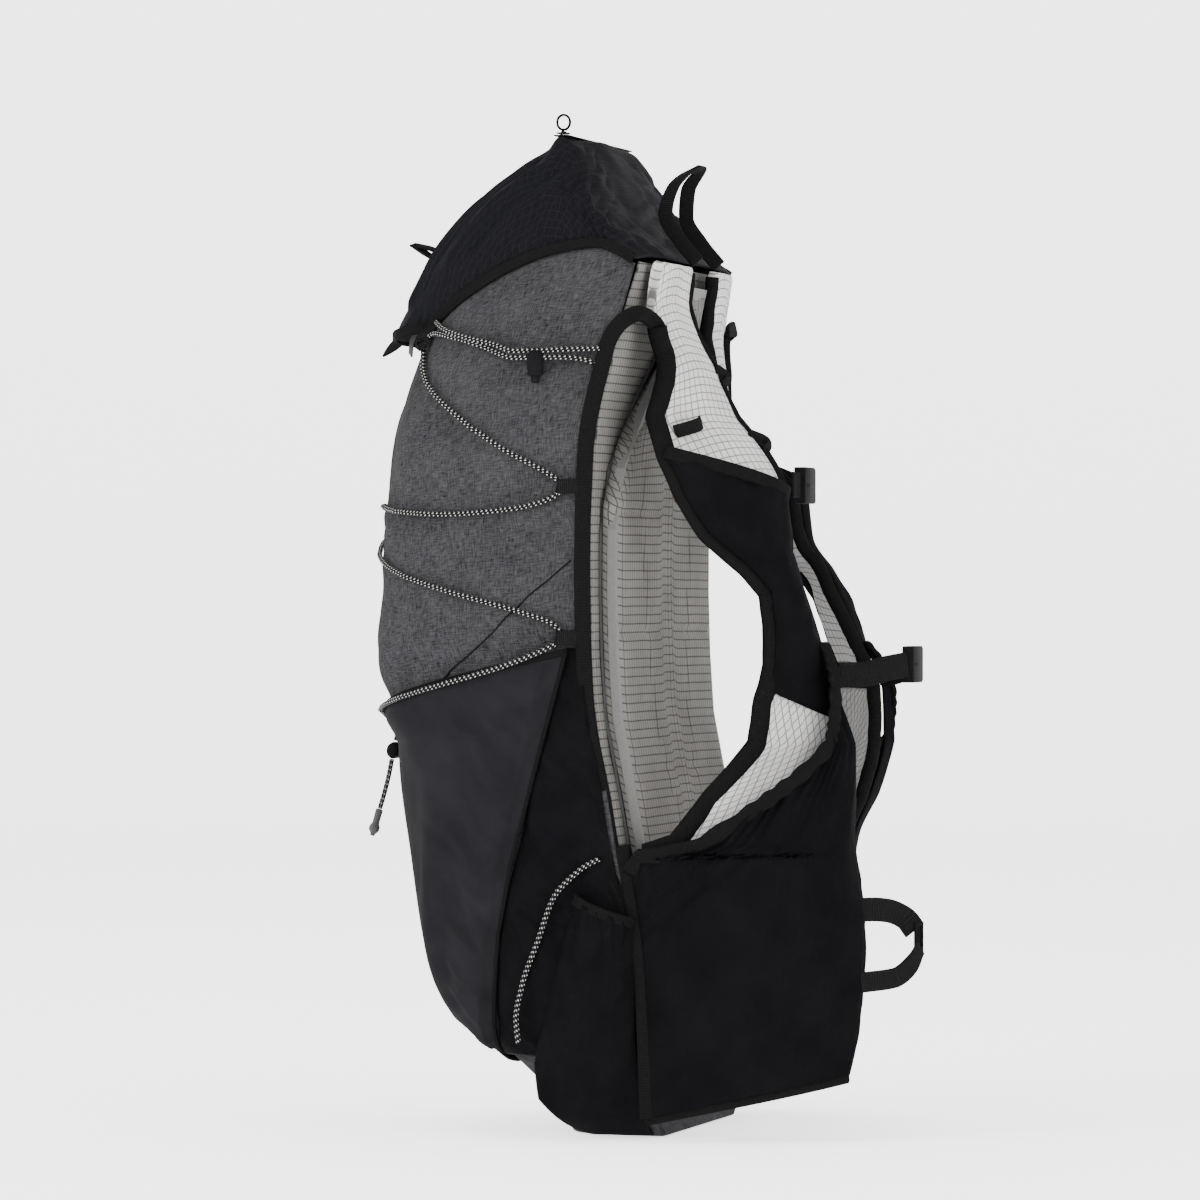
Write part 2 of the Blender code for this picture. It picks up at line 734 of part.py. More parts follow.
clear_scene()
PARTS = collection("ski_backpack")
CUTTERS = collection("cutters", hidden=True)
build()
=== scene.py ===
"""A ski backpack: the soft goods, hardware, materials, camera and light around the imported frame.

Shapes are worked out in millimetres in the pack's own frame: +X towards the wearer, +Z up, and the
wearer's right side at -Y. MM turns them into metres.
"""

import math

import bmesh
import bpy
import numpy as np
from mathutils import Matrix, Vector


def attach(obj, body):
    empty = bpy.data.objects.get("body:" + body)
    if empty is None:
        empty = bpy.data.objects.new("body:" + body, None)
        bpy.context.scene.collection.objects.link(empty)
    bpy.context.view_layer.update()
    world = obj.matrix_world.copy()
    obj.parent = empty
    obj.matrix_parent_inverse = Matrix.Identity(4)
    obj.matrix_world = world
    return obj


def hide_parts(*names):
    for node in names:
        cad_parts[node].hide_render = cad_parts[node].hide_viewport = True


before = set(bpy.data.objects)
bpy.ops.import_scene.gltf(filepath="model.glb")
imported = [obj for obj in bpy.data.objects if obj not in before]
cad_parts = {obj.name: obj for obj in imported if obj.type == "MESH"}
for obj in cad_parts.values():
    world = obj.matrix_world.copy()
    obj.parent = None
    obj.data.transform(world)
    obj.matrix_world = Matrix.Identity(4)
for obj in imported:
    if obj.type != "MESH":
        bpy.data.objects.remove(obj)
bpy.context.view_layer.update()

MM = 0.001
RIGHT, LEFT = -1, 1
SIDES = {"right": RIGHT, "left": LEFT}
TURN = 2 * math.pi


def quads_between(here, there):
    """Faces from each ring of vertex numbers in here to the ring at the same place in there."""
    rolled = (np.roll(rings, -1, axis=1) for rings in (here, there))
    return np.stack([here, *rolled, there], axis=-1).reshape(-1, 4)


# Camera, light and floor -----------------------------------------------------------------------


def studio():
    camera_data = bpy.data.cameras.new("camera")
    camera_data.lens = 200.0
    camera_data.sensor_width = 36.0
    camera_data.clip_end = 50.0
    camera = bpy.data.objects.new("camera", camera_data)
    bpy.context.scene.collection.objects.link(camera)
    azimuth, distance, aim = math.radians(15), 4.0, Vector((0, 0, 0.314))
    away = Vector((math.sin(azimuth), -math.cos(azimuth), 0))
    camera.location = aim + away * distance
    camera.rotation_euler = (-away).to_track_quat("-Z", "Y").to_euler()
    bpy.context.scene.camera = camera

    lamps = (
        ("key_light", (-1.9, -2.4, 2.2), 1.9, 95.0),
        ("fill_light", (2.6, -1.7, 1.2), 2.2, 30.0),
        ("back_light", (-1.6, 2.2, 2.4), 2.2, 12.0),
        ("top_light", (-0.2, 0.1, 2.8), 1.8, 30.0),
    )
    for name, place, size, power in lamps:
        lamp = bpy.data.lights.new(name, "AREA")
        lamp.shape = "DISK"
        lamp.size = size
        lamp.energy = power
        obj = bpy.data.objects.new(name, lamp)
        obj.location = place
        obj.rotation_euler = (Vector((0, 0, 0.32)) - Vector(place)).to_track_quat("-Z", "Y").to_euler()
        bpy.context.scene.collection.objects.link(obj)

    world = bpy.data.worlds.new("studio")
    world.use_nodes = True
    world.node_tree.nodes["Background"].inputs["Color"].default_value = (1.0, 1.0, 1.0, 1.0)
    world.node_tree.nodes["Background"].inputs["Strength"].default_value = 1.7
    bpy.context.scene.world = world

    floor = bpy.data.meshes.new("floor")
    turns = np.linspace(0, TURN, 96, endpoint=False)
    lift = np.linspace(0, math.pi / 2, 14)
    fillet, wall, rim = 2.5, 9.0, 3.0
    curve = zip(wall - fillet + fillet * np.sin(lift), fillet - fillet * np.cos(lift))
    profile = [(0.5, 0.0), (3.0, 0.0), *curve, (wall, rim)]
    points = np.array([[(r * math.cos(t), r * math.sin(t), z) for t in turns] for r, z in profile])
    index = np.arange(len(profile) * 96).reshape(-1, 96)
    quads = quads_between(index[:-1], index[1:])[:, ::-1]
    floor.from_pydata(points.reshape(-1, 3).tolist(), [], [index[0].tolist()] + quads.tolist())
    floor.polygons.foreach_set("use_smooth", [True] * len(floor.polygons))
    obj = bpy.data.objects.new("floor", floor)
    finish = Finish("floor_paper", 0.9)
    speck = finish.noise(finish.object_space(), 3.0)
    finish.colour(finish.mix(speck, (0.92, 0.92, 0.92), (0.93, 0.93, 0.93)))
    finish.shader.inputs["Emission Color"].default_value = (1.0, 1.0, 1.0, 1.0)
    finish.shader.inputs["Emission Strength"].default_value = 1.5
    floor.materials.append(finish.material)
    obj.location.z = -0.0006
    bpy.context.scene.collection.objects.link(obj)


# Materials -------------------------------------------------------------------------------------


class Finish:
    """A procedural material, with short ways to add the nodes that it is made of."""

    def __init__(self, name, roughness, metallic=0.0, specular=0.5):
        self.material = bpy.data.materials.new(name)
        self.material.use_nodes = True
        self.tree = self.material.node_tree
        self.shader = self.tree.nodes["Principled BSDF"]
        self.shader.inputs["Roughness"].default_value = roughness
        self.shader.inputs["Metallic"].default_value = metallic
        self.shader.inputs["Specular IOR Level"].default_value = specular

    def node(self, kind, *values, **settings):
        made = self.tree.nodes.new(kind)
        for key, value in settings.items():
            setattr(made, key, value)
        for socket, value in zip(made.inputs, values):
            if value is None:
                continue
            if isinstance(value, bpy.types.NodeSocket):
                self.tree.links.new(value, socket)
            else:
                socket.default_value = value
        return made

    def cloth_space(self):
        """Millimetres across and along the cloth, which each piece carries as an attribute."""
        return self.node("ShaderNodeAttribute", attribute_name="cloth").outputs["Vector"]

    def object_space(self):
        return self.node("ShaderNodeTexCoord").outputs["Object"]

    def times(self, vector, factors):
        return self.node("ShaderNodeVectorMath", vector, factors, operation="MULTIPLY").outputs[0]

    def part(self, vector, axis):
        return self.node("ShaderNodeSeparateXYZ", vector).outputs[axis]

    def math(self, operation, a, b=0.0):
        return self.node("ShaderNodeMath", a, b, operation=operation).outputs[0]

    def noise(self, vector, scale, detail=2.0, roughness=0.5):
        made = self.node("ShaderNodeTexNoise")
        self.tree.links.new(vector, made.inputs["Vector"])
        made.inputs["Scale"].default_value = scale
        made.inputs["Detail"].default_value = detail
        made.inputs["Roughness"].default_value = roughness
        return made.outputs["Fac"]

    def mapped(self, value, low, high, new_low=0.0, new_high=1.0):
        made = self.node("ShaderNodeMapRange", value, low, high, new_low, new_high)
        return made.outputs["Result"]

    def mix(self, factor, first, second):
        made = self.node("ShaderNodeMix", data_type="RGBA")
        for index, value in ((0, factor), (6, first), (7, second)):
            socket = made.inputs[index]
            if isinstance(value, bpy.types.NodeSocket):
                self.tree.links.new(value, socket)
            elif isinstance(value, tuple):
                socket.default_value = (*value, 1.0)
            else:
                socket.default_value = value
        return made.outputs[2]

    def colour(self, value):
        self.tree.links.new(value, self.shader.inputs["Base Color"])

    def rough(self, value):
        self.tree.links.new(value, self.shader.inputs["Roughness"])

    def bump(self, height, depth):
        """Raises the surface by height, from 0 to 1, times depth in millimetres."""
        made = self.node("ShaderNodeBump")
        made.inputs["Strength"].default_value = 1.0
        made.inputs["Distance"].default_value = depth * MM
        self.tree.links.new(height, made.inputs["Height"])
        self.tree.links.new(made.outputs["Normal"], self.shader.inputs["Normal"])

    def weave(self, space, pitch):
        """Over and under of a plain weave, from 0 to 1."""
        waves = [
            self.math("SINE", self.math("MULTIPLY", self.part(space, axis), TURN / pitch))
            for axis in (0, 1)
        ]
        return self.mapped(self.math("MULTIPLY", *waves), -1.0, 1.0)


def heather_cloth():
    finish = Finish("heather_cloth", 0.9, specular=0.012)
    space = finish.cloth_space()
    across = finish.noise(finish.times(space, (0.16, 1.35, 1.0)), 1.0, 3.0, 0.6)
    along = finish.noise(finish.times(space, (1.35, 0.16, 1.0)), 1.0, 3.0, 0.6)
    patch = finish.noise(space, 0.035, 2.0)
    yarn = finish.math("ADD", across, along)
    yarn = finish.math("ADD", yarn, finish.math("MULTIPLY", patch, 0.25))
    tone = finish.mapped(yarn, 0.82, 1.42)
    weave = finish.weave(space, 1.1)
    base = finish.mix(tone, (0.005, 0.005, 0.006), (0.054, 0.053, 0.0565))
    finish.colour(finish.mix(finish.mapped(weave, 0.0, 1.0, 0.0, 0.22), base, (0.008, 0.008, 0.009)))
    finish.bump(finish.math("ADD", weave, finish.math("MULTIPLY", tone, 0.8)), 0.22)
    return finish.material


def stretch_cloth(name, dark, light, roughness, specular):
    """Fine black stretch weave, a little darker in its hollows."""
    finish = Finish(name, roughness, specular=specular)
    space = finish.cloth_space()
    weave = finish.weave(space, 0.62)
    fine = finish.noise(space, 1.4, 3.0, 0.7)
    broad = finish.noise(space, 0.03, 2.0)
    tone = finish.math("MULTIPLY", finish.math("ADD", fine, finish.math("MULTIPLY", broad, 2.0)), 1 / 3)
    tone = finish.mapped(tone, 0.35, 0.65)
    shade = finish.mix(finish.mapped(weave, 0.0, 1.0, 0.0, 0.5), light, dark)
    finish.colour(finish.mix(finish.mapped(tone, 0.0, 1.0, 0.0, 0.6), shade, dark))
    finish.rough(finish.mapped(fine, 0.3, 0.7, roughness - 0.07, roughness + 0.07))
    finish.bump(finish.math("ADD", weave, finish.math("MULTIPLY", fine, 0.6)), 0.12)
    return finish.material


def ripstop_cloth():
    """Black nylon with a faint ripstop grid and a soft gloss."""
    finish = Finish("ripstop_cloth", 0.6, specular=0.003)
    space = finish.cloth_space()
    lines = [
        finish.mapped(finish.math("PINGPONG", finish.part(space, axis), 2.5), 0.16, 0.42, 1.0, 0.0)
        for axis in (0, 1)
    ]
    grid = finish.math("MAXIMUM", *lines)
    weave = finish.weave(space, 0.7)
    fine = finish.noise(space, 0.9, 3.0, 0.65)
    base = finish.mix(finish.mapped(fine, 0.3, 0.7), (0.0035, 0.0035, 0.0043), (0.0070, 0.0070, 0.0085))
    finish.colour(finish.mix(finish.mapped(grid, 0.0, 1.0, 0.0, 0.45), base, (0.012, 0.012, 0.014)))
    finish.rough(finish.mapped(fine, 0.3, 0.7, 0.46, 0.60))
    height = finish.math("ADD", finish.math("MULTIPLY", weave, 0.5), grid)
    finish.bump(height, 0.14)
    return finish.material


def grid_mesh(name, light, dark):
    """Pale mesh with a dark grid laid through it."""
    pitch = 5.2
    finish = Finish(name, 0.9, specular=0.05)
    space = finish.cloth_space()
    wander = finish.math("MULTIPLY", finish.math("SUBTRACT", finish.noise(space, 0.25), 0.5), 0.55)
    lines = []
    for axis in (0, 1):
        place = finish.math("ADD", finish.part(space, axis), wander)
        away = finish.math("PINGPONG", place, pitch / 2)
        lines.append(finish.mapped(away, 0.22, 0.50, 1.0, 0.0))
    grid = finish.math("MAXIMUM", *lines)
    fine = finish.noise(space, 2.2, 2.0, 0.7)
    broad = finish.noise(space, 0.03, 2.0)
    thread = finish.mix(finish.mapped(fine, 0.3, 0.7), tuple(c * 0.82 for c in light), light)
    thread = finish.mix(finish.mapped(broad, 0.35, 0.75, 0.0, 0.25), thread, dark)
    finish.colour(finish.mix(finish.mapped(grid, 0.0, 1.0, 0.0, 0.82), thread, dark))
    holes = finish.weave(space, 1.03)
    finish.bump(finish.math("ADD", finish.math("MULTIPLY", grid, 1.2), holes), 0.3)
    return finish.material


def woven_tape(name, dark, light, pitch=1.2, depth=0.3):
    """Webbing or binding: ribs across its width, and a finer run of threads along it."""
    finish = Finish(name, 0.7, specular=0.005)
    space = finish.cloth_space()
    rib = finish.math("SINE", finish.math("MULTIPLY", finish.part(space, 1), TURN / pitch))
    thread = finish.math("SINE", finish.math("MULTIPLY", finish.part(space, 0), TURN / 0.8))
    fine = finish.noise(space, 1.6, 3.0, 0.7)
    height = finish.mapped(finish.math("ADD", rib, finish.math("MULTIPLY", thread, 0.5)), -1.5, 1.5)
    tone = finish.math("MULTIPLY", height, fine)
    finish.colour(finish.mix(finish.mapped(tone, 0.05, 0.55), dark, light))
    finish.bump(height, depth)
    return finish.material


def shock_cord():
    """Black braided cord with pale flecks along it."""
    finish = Finish("shock_cord", 0.65, specular=0.01)
    space = finish.cloth_space()
    around, along = finish.part(space, 0), finish.part(space, 1)
    lean = finish.math("ADD", along, finish.math("MULTIPLY", around, 0.55))
    fleck = finish.math("MULTIPLY",
        finish.math("SINE", finish.math("MULTIPLY", lean, TURN / 3.0)),
        finish.math("SINE", finish.math("MULTIPLY", around, TURN / 3.14)),
    )
    mask = finish.mapped(fleck, 0.52, 0.72)
    braid = finish.weave(finish.times(space, (1.0, 0.8, 1.0)), 0.8)
    body = finish.mix(braid, (0.004, 0.004, 0.0045), (0.011, 0.011, 0.012))
    finish.colour(finish.mix(mask, body, (0.42, 0.42, 0.40)))
    finish.bump(braid, 0.2)
    return finish.material


def moulded_plastic():
    finish = Finish("moulded_plastic", 0.42, specular=0.003)
    space = finish.object_space()
    grain = finish.noise(space, 2600.0, 2.0, 0.6)
    broad = finish.noise(space, 60.0, 2.0)
    finish.colour(finish.mix(broad, (0.004, 0.004, 0.0045), (0.008, 0.008, 0.009)))
    finish.rough(finish.mapped(grain, 0.3, 0.7, 0.34, 0.52))
    finish.bump(grain, 0.05)
    return finish.material


def brushed_metal():
    finish = Finish("brushed_metal", 0.35, metallic=1.0)
    space = finish.times(finish.object_space(), (1.0, 1.0, 14.0))
    grain = finish.noise(space, 400.0, 3.0, 0.6)
    finish.colour(finish.mix(grain, (0.42, 0.42, 0.44), (0.60, 0.60, 0.62)))
    finish.rough(finish.mapped(grain, 0.3, 0.7, 0.27, 0.45))
    finish.bump(grain, 0.03)
    return finish.material


def grained(name, dark, light, scale, roughness):
    """Foam or sheet plastic inside the back."""
    finish = Finish(name, roughness)
    grain = finish.noise(finish.object_space(), scale, 3.0, 0.6)
    finish.colour(finish.mix(grain, dark, light))
    finish.bump(grain, 0.2)
    return finish.material


MATERIALS = {}


# Curves and surfaces ---------------------------------------------------------------------------


class Curve:
    """A smooth curve with no overshoot through a table of (place, value), or a straight-sided one."""

    def __init__(self, table, straight=False):
        places, values = (np.array(column, float) for column in zip(*table))
        self.places = np.linspace(places[0], places[-1], 1600)
        if straight:
            self.values = np.interp(self.places, places, values)
            return
        rises = np.diff(values) / np.diff(places)
        turning = rises[:-1] * rises[1:] <= 0
        steady = np.where(turning, 1.0, rises[:-1] + rises[1:])
        middle = np.where(turning, 0.0, 2 * rises[:-1] * rises[1:] / steady)
        slopes = np.concatenate([rises[:1], middle, rises[-1:]])
        i = np.clip(np.searchsorted(places, self.places, side="right") - 1, 0, len(places) - 2)
        step = places[i + 1] - places[i]
        t = (self.places - places[i]) / step
        self.values = (
            values[i] + (values[i + 1] - values[i]) * t * t * (3 - 2 * t)
            + step * (slopes[i] * t * (1 - t) ** 2 - slopes[i + 1] * t * t * (1 - t))
        )

    def __call__(self, at):
        return np.interp(at, self.places, self.values)


BACK_X = Curve(((0, 62), (100, 57), (190, 43), (260, 31), (330, 29), (400, 31), (466, 43), (514, 54)))
FRONT_X = Curve((
    (0, -6), (12, -12), (30, -22), (47, -40), (70, -66), (110, -82), (180, -92), (228, -99),
    (246, -112), (290, -121), (340, -121), (390, -115), (430, -107), (466, -95), (526, -66),
))
HALF_TABLE = ((0, 86), (12, 104), (30, 117), (60, 126), (120, 130), (400, 130), (450, 125), (526, 113))
HALF_WIDTH = Curve(HALF_TABLE)
HALF_STRAIGHT = Curve(HALF_TABLE, straight=True)
TOP_EDGE = Curve(((0.0, 462), (0.35, 472), (0.5, 492), (0.62, 507), (0.75, 517), (0.87, 520), (1.0, 510)))
ROUNDNESS = 0.6
BASE_TOP = 48.0
HALF_ROUND = 255.0

VEST_DEPTH = {
    RIGHT: Curve((
        (12, 166), (60, 163), (120, 157), (174, 146), (230, 138), (300, 127), (350, 118), (380, 106),
        (400, 90), (425, 60), (450, 33), (474, 14), (492, 5), (512, 3),
    )),
    LEFT: Curve((
        (12, 86), (60, 88), (120, 94), (169, 106), (200, 122), (230, 134), (260, 138), (288, 128),
        (314, 116), (334, 106), (351, 92), (380, 84), (400, 62), (425, 40), (450, 18), (474, 8), (512, 3),
    )),
}
VEST_HALF = {
    RIGHT: Curve(((12, 132), (350, 132), (400, 121), (450, 103), (480, 97), (512, 92))),
    LEFT: Curve(((12, 132), (350, 132), (400, 119), (450, 94), (480, 82), (512, 76))),
}
VEST_START = Curve(((12, 0.8), (420, 2.0), (450, 9.8), (512, 10.4)), straight=True)
ARMHOLE = Curve((
    (12, 0), (165.9, 0), (166, 2), (173, 11), (200, 22), (230, 37), (257, 42), (275, 46), (300, 48),
    (319, 48), (333, 42), (353, 31), (376, 25), (398, 22), (422, 22), (443, 27), (458, 27), (474, 18),
    (490, 6), (512, 4),
), straight=True)
CHEST_EDGE = Curve((
    (12, 40), (60, 47), (120, 53), (174, 59), (230, 70), (262, 68), (298, 65), (341, 60), (366, 62),
    (380, 65), (400, 67), (425, 70), (450, 73), (492, 72), (512, 70),
), straight=True)
PADDING = 7.0
STRAP_FOOT, SEAM, STRAP_TOP = 261.0, 3.0, 511.0

LID_RIDGE = (
    (-117, 470), (-100, 498), (-87, 524), (-67, 548), (-38, 573), (-18, 584), (-4, 587), (6, 585),
    (15, 570), (22, 551), (33, 534), (56, 516),
)
RIDGE_PLACES = np.linspace(0, 1, len(LID_RIDGE))
RIDGE_X = Curve(tuple(zip(RIDGE_PLACES, [x for x, _ in LID_RIDGE])))
RIDGE_Z = Curve(tuple(zip(RIDGE_PLACES, [z for _, z in LID_RIDGE])))
LID_EDGE_START, LID_EDGE_END = 0.37, 0.995
ZIP_X, ZIP_Z, ZIP_HALF = -4.0, 587.7, 74.0
BACK_HALF = Curve(
    ((60, 104), (120, 112), (370, 112), (405, 88), (430, 58), (455, 26), (512, 22)), straight=True
)


def power(base, exponent):
    return np.clip(base, 0.0, None) ** exponent


def ramp(value, width):
    """0 up to a value of 0, then rising to 1 over width."""
    return np.clip(value / width, 0, 1)


def fade(value, width):
    """0 at both ends of a value from 0 to 1, and 1 from width inside them."""
    return ramp(np.minimum(value, 1 - value), width)


def section_point(angle, z, out):
    back = BACK_X(z)
    depth = back - FRONT_X(z) + out
    x = back - depth * power(np.cos(angle), ROUNDNESS)
    return x, (HALF_WIDTH(z) + out) * power(np.sin(angle), ROUNDNESS)


ANGLES = np.linspace(0, math.pi / 2, 400)
_edge = np.stack(section_point(ANGLES, 300.0, 0.0), axis=-1)
SHARES = np.concatenate([[0], np.cumsum(np.linalg.norm(np.diff(_edge, axis=0), axis=1))])
SHARES = SHARES / SHARES[-1]


def bag_point(share, z, out=0.0):
    """On the bag: share runs from -1, the right back corner, over the front to 1, the left."""
    share, z, out = np.broadcast_arrays(np.asarray(share, float), z, out)
    x, y = section_point(np.interp(np.abs(share), SHARES, ANGLES), z, out)
    return x, np.copysign(y, share), z


def share_at(x, z):
    back = BACK_X(z)
    reach = (back - x) / (back - FRONT_X(z))
    return np.interp(np.arccos(np.clip(reach, 0, 1) ** (1 / ROUNDNESS)), ANGLES, SHARES)


def bag_top(share):
    return TOP_EDGE(np.abs(share))


def vest_point(side, degrees, z, out=0.0):
    """On the vest's outer face, degrees round from the bag's back corner to the chest."""
    angle = np.radians(degrees)
    x = BACK_X(z) + VEST_START(z) + (VEST_DEPTH[side](z) + out) * np.sin(angle)
    y = side * (VEST_HALF[side](z) + out) * np.cos(angle)
    return x, y, z + 0 * x


def lid_point(share, along):
    """On the lid's outer face: share from -1 to 1 across it, along from its front tip to its back."""
    share, along = np.broadcast_arrays(np.asarray(share, float), along)
    ridge_x, ridge_z = RIDGE_X(along), RIDGE_Z(along)
    round_bag = LID_EDGE_START + (LID_EDGE_END - LID_EDGE_START) * along
    edge_x, edge_y, edge_z = bag_point(round_bag, bag_top(round_bag), 1.0)
    turn = math.pi / 2 * np.abs(share)
    side = power(np.sin(turn), 0.75)
    drop = 1 - power(np.cos(turn), 0.75)
    x = ridge_x + (edge_x - ridge_x) * drop
    z = ridge_z + (edge_z + 2.4 - ridge_z) * drop
    return x, np.copysign(edge_y * side, share), z


def spread(low, high, part):
    return low + (high - low) * part


def stack(place):
    return np.stack(np.broadcast_arrays(*place), axis=-1)


def along_route(points, count):
    """Points evenly spread along the smooth curve through a route's own points."""
    points = np.array(points, float)
    steps = np.concatenate([[0], np.cumsum(np.linalg.norm(np.diff(points, axis=0), axis=1))])
    at = np.linspace(0, steps[-1], count)
    return np.stack([Curve(tuple(zip(steps, points[:, i])))(at) for i in range(points.shape[1])], axis=-1)


def unit(vectors):
    return vectors / np.maximum(np.linalg.norm(vectors, axis=-1, keepdims=True), 1e-9)


def ripple(a, b, seed, size, stretch=1.0, turn=0.0):
    """Soft irregular folds, about size apart, drawn out by stretch along the direction turn."""
    rng = np.random.default_rng(seed)
    run = (a * math.cos(turn) + b * math.sin(turn)) / stretch
    side = -a * math.sin(turn) + b * math.cos(turn)
    total = 0.0
    for _ in range(9):
        heading, phase, bend = rng.uniform(0, TURN, 3)
        wave = TURN / (size * rng.uniform(0.7, 1.8))
        place = run * math.cos(heading) + side * math.sin(heading)
        cross = side * math.cos(heading) - run * math.sin(heading)
        total = total + np.sin(wave * place + phase + 0.9 * np.sin(wave * 0.6 * cross + bend))
    return total / 3.0


def distance(a, b, line):
    """How far each point (a, b) is from a line through points."""
    best = np.full(np.shape(a), 1e9)
    line = np.array(line, float)
    for (a0, b0), (a1, b1) in zip(line, line[1:]):
        da, db = a1 - a0, b1 - b0
        t = np.clip(((a - a0) * da + (b - b0) * db) / (da * da + db * db + 1e-9), 0, 1)
        best = np.minimum(best, np.hypot(a - a0 - t * da, b - b0 - t * db))
    return best


def crease(a, b, line, width):
    return np.exp(-((distance(a, b, line) / width) ** 2))


# Making pieces ---------------------------------------------------------------------------------


def finished(name, vertices, faces, cloth, look, replaces, body):
    mesh = bpy.data.meshes.new(name)
    mesh.from_pydata((np.asarray(vertices) * MM).tolist(), [], faces)
    mesh.polygons.foreach_set("use_smooth", [True] * len(mesh.polygons))
    if cloth is not None:
        attribute = mesh.attributes.new("cloth", "FLOAT_VECTOR", "POINT")
        attribute.data.foreach_set("vector", np.asarray(cloth, np.float32).reshape(-1))
    mesh.materials.append(MATERIALS[look])
    mesh.update()
    obj = bpy.data.objects.new(name, mesh)
    bpy.context.scene.collection.objects.link(obj)
    return settle(obj, replaces, body)


def settle(obj, replaces, body):
    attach(obj, body)
    if replaces:
        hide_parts(*replaces)
    return obj


def normals_of(points):
    return unit(np.cross(np.gradient(points, axis=1), np.gradient(points, axis=0)))


def panel(name, points, thickness, look, replaces=(), body="bag", push=None, edge=1.0):
    """A cloth or padded panel: outer points in rows, pushed out by push, and a back behind them.

    edge is the share of the thickness that is left at its rim, for a pad that thins there.
    """
    if push is not None:
        points = points + normals_of(points) * np.asarray(push)[..., None]
    normals = normals_of(points)
    rows, columns = points.shape[:2]
    i, j = np.meshgrid(np.arange(rows), np.arange(columns), indexing="ij")
    rim = np.minimum(np.minimum(i, rows - 1 - i) / 4.0, np.minimum(j, columns - 1 - j) / 4.0)
    full = edge + (1 - edge) * np.sqrt(1 - (1 - np.clip(rim, 0, 1)) ** 2)
    sunk = (1 - full) * thickness / 2
    outer = points - normals * sunk[..., None]
    inner = points - normals * (thickness - sunk)[..., None]
    across = np.cumsum(np.linalg.norm(np.diff(points, axis=1, prepend=points[:, :1]), axis=-1), axis=1)
    along = np.cumsum(np.linalg.norm(np.diff(points, axis=0, prepend=points[:1]), axis=-1), axis=0)
    across = across - across[:, columns // 2][:, None]
    cloth = np.stack([across, along, 0 * along], axis=-1)
    index = i * columns + j
    low, right, high, up = index[:-1, :-1], index[:-1, 1:], index[1:, 1:], index[1:, :-1]
    front = np.stack([low, right, high, up], axis=-1).reshape(-1, 4)
    total = rows * columns
    ring = np.concatenate([index[0, :], index[1:, -1], index[-1, -2::-1], index[-2:0:-1, 0]])
    following = np.roll(ring, -1)
    side = np.stack([following, ring, ring + total, following + total], axis=-1)
    faces = np.concatenate([front, front[:, ::-1] + total, side]).tolist()
    vertices = np.concatenate([outer.reshape(-1, 3), inner.reshape(-1, 3)])
    cloth = np.concatenate([cloth.reshape(-1, 3)] * 2)
    return finished(name, vertices, faces, cloth, look, replaces, body)


def grid(across, along):
    return np.meshgrid(np.linspace(0, 1, across + 1), np.linspace(0, 1, along + 1))


def rounded(width, thickness):
    """The outline of webbing: a box with rounded corners."""
    corner = min(width, thickness) / 2
    outline = []
    for quarter in range(4):
        centre_a = (width / 2 - corner) * (1 if quarter in (0, 3) else -1)
        centre_b = (thickness / 2 - corner) * (1 if quarter in (0, 1) else -1)
        for turn in np.linspace(quarter, quarter + 1, 5) * math.pi / 2:
            outline.append((centre_a + corner * math.cos(turn), centre_b + corner * math.sin(turn)))
    return np.array(outline)


def disc(radius, count=14):
    turns = np.linspace(0, TURN, count, endpoint=False)
    return np.stack([radius * np.cos(turns), radius * np.sin(turns)], axis=-1)


def turned_out(obj):
    """The same piece with every face turned outwards."""
    bm = bmesh.new()
    bm.from_mesh(obj.data)
    bmesh.ops.recalc_face_normals(bm, faces=bm.faces)
    bm.to_mesh(obj.data)
    bm.free()
    return obj


def sweep(name, path, outline, outward, look, replaces=(), body="bag", scale=None, loop=False):
    """Carries an outline of (across, outward) points along a path, with a direction outwards there."""
    path = np.array(path, float)
    if loop:
        runs = unit(np.roll(path, -1, axis=0) - np.roll(path, 1, axis=0))
    else:
        runs = unit(np.gradient(path, axis=0))
    outward = np.broadcast_to(np.array(outward, float), path.shape)
    across = unit(np.cross(outward, runs))
    outward = np.cross(runs, across)
    scale = np.ones(len(path)) if scale is None else np.asarray(scale)
    spots = outline[None] * scale[:, None, None]
    points = path[:, None] + spots[..., :1] * across[:, None] + spots[..., 1:] * outward[:, None]
    count, ring = points.shape[:2]
    step = np.linalg.norm(np.diff(path, axis=0, prepend=path[:1]), axis=-1)
    around = np.concatenate([[0], np.cumsum(np.linalg.norm(np.diff(outline, axis=0), axis=1))])
    cloth = np.zeros((count, ring, 3))
    cloth[..., 0] = around[None]
    cloth[..., 1] = np.cumsum(step)[:, None]
    index = np.arange(count * ring).reshape(count, ring)
    here, there = (index, np.roll(index, -1, axis=0)) if loop else (index[:-1], index[1:])
    faces = quads_between(here, there).tolist()
    if not loop:
        faces += [index[0, ::-1].tolist(), index[-1].tolist()]
    return turned_out(
        finished(name, points.reshape(-1, 3), faces, cloth.reshape(-1, 3), look, replaces, body)
    )


def cord(name, points, radius, look, replaces=(), outward=(0.31, 0.2, 0.93)):
    return sweep(name, points, disc(radius), outward, look, replaces)


def tape(name, points, width, thickness, outward, look, replaces=(), body="bag"):
    return sweep(name, points, rounded(width, thickness), outward, look, replaces, body)


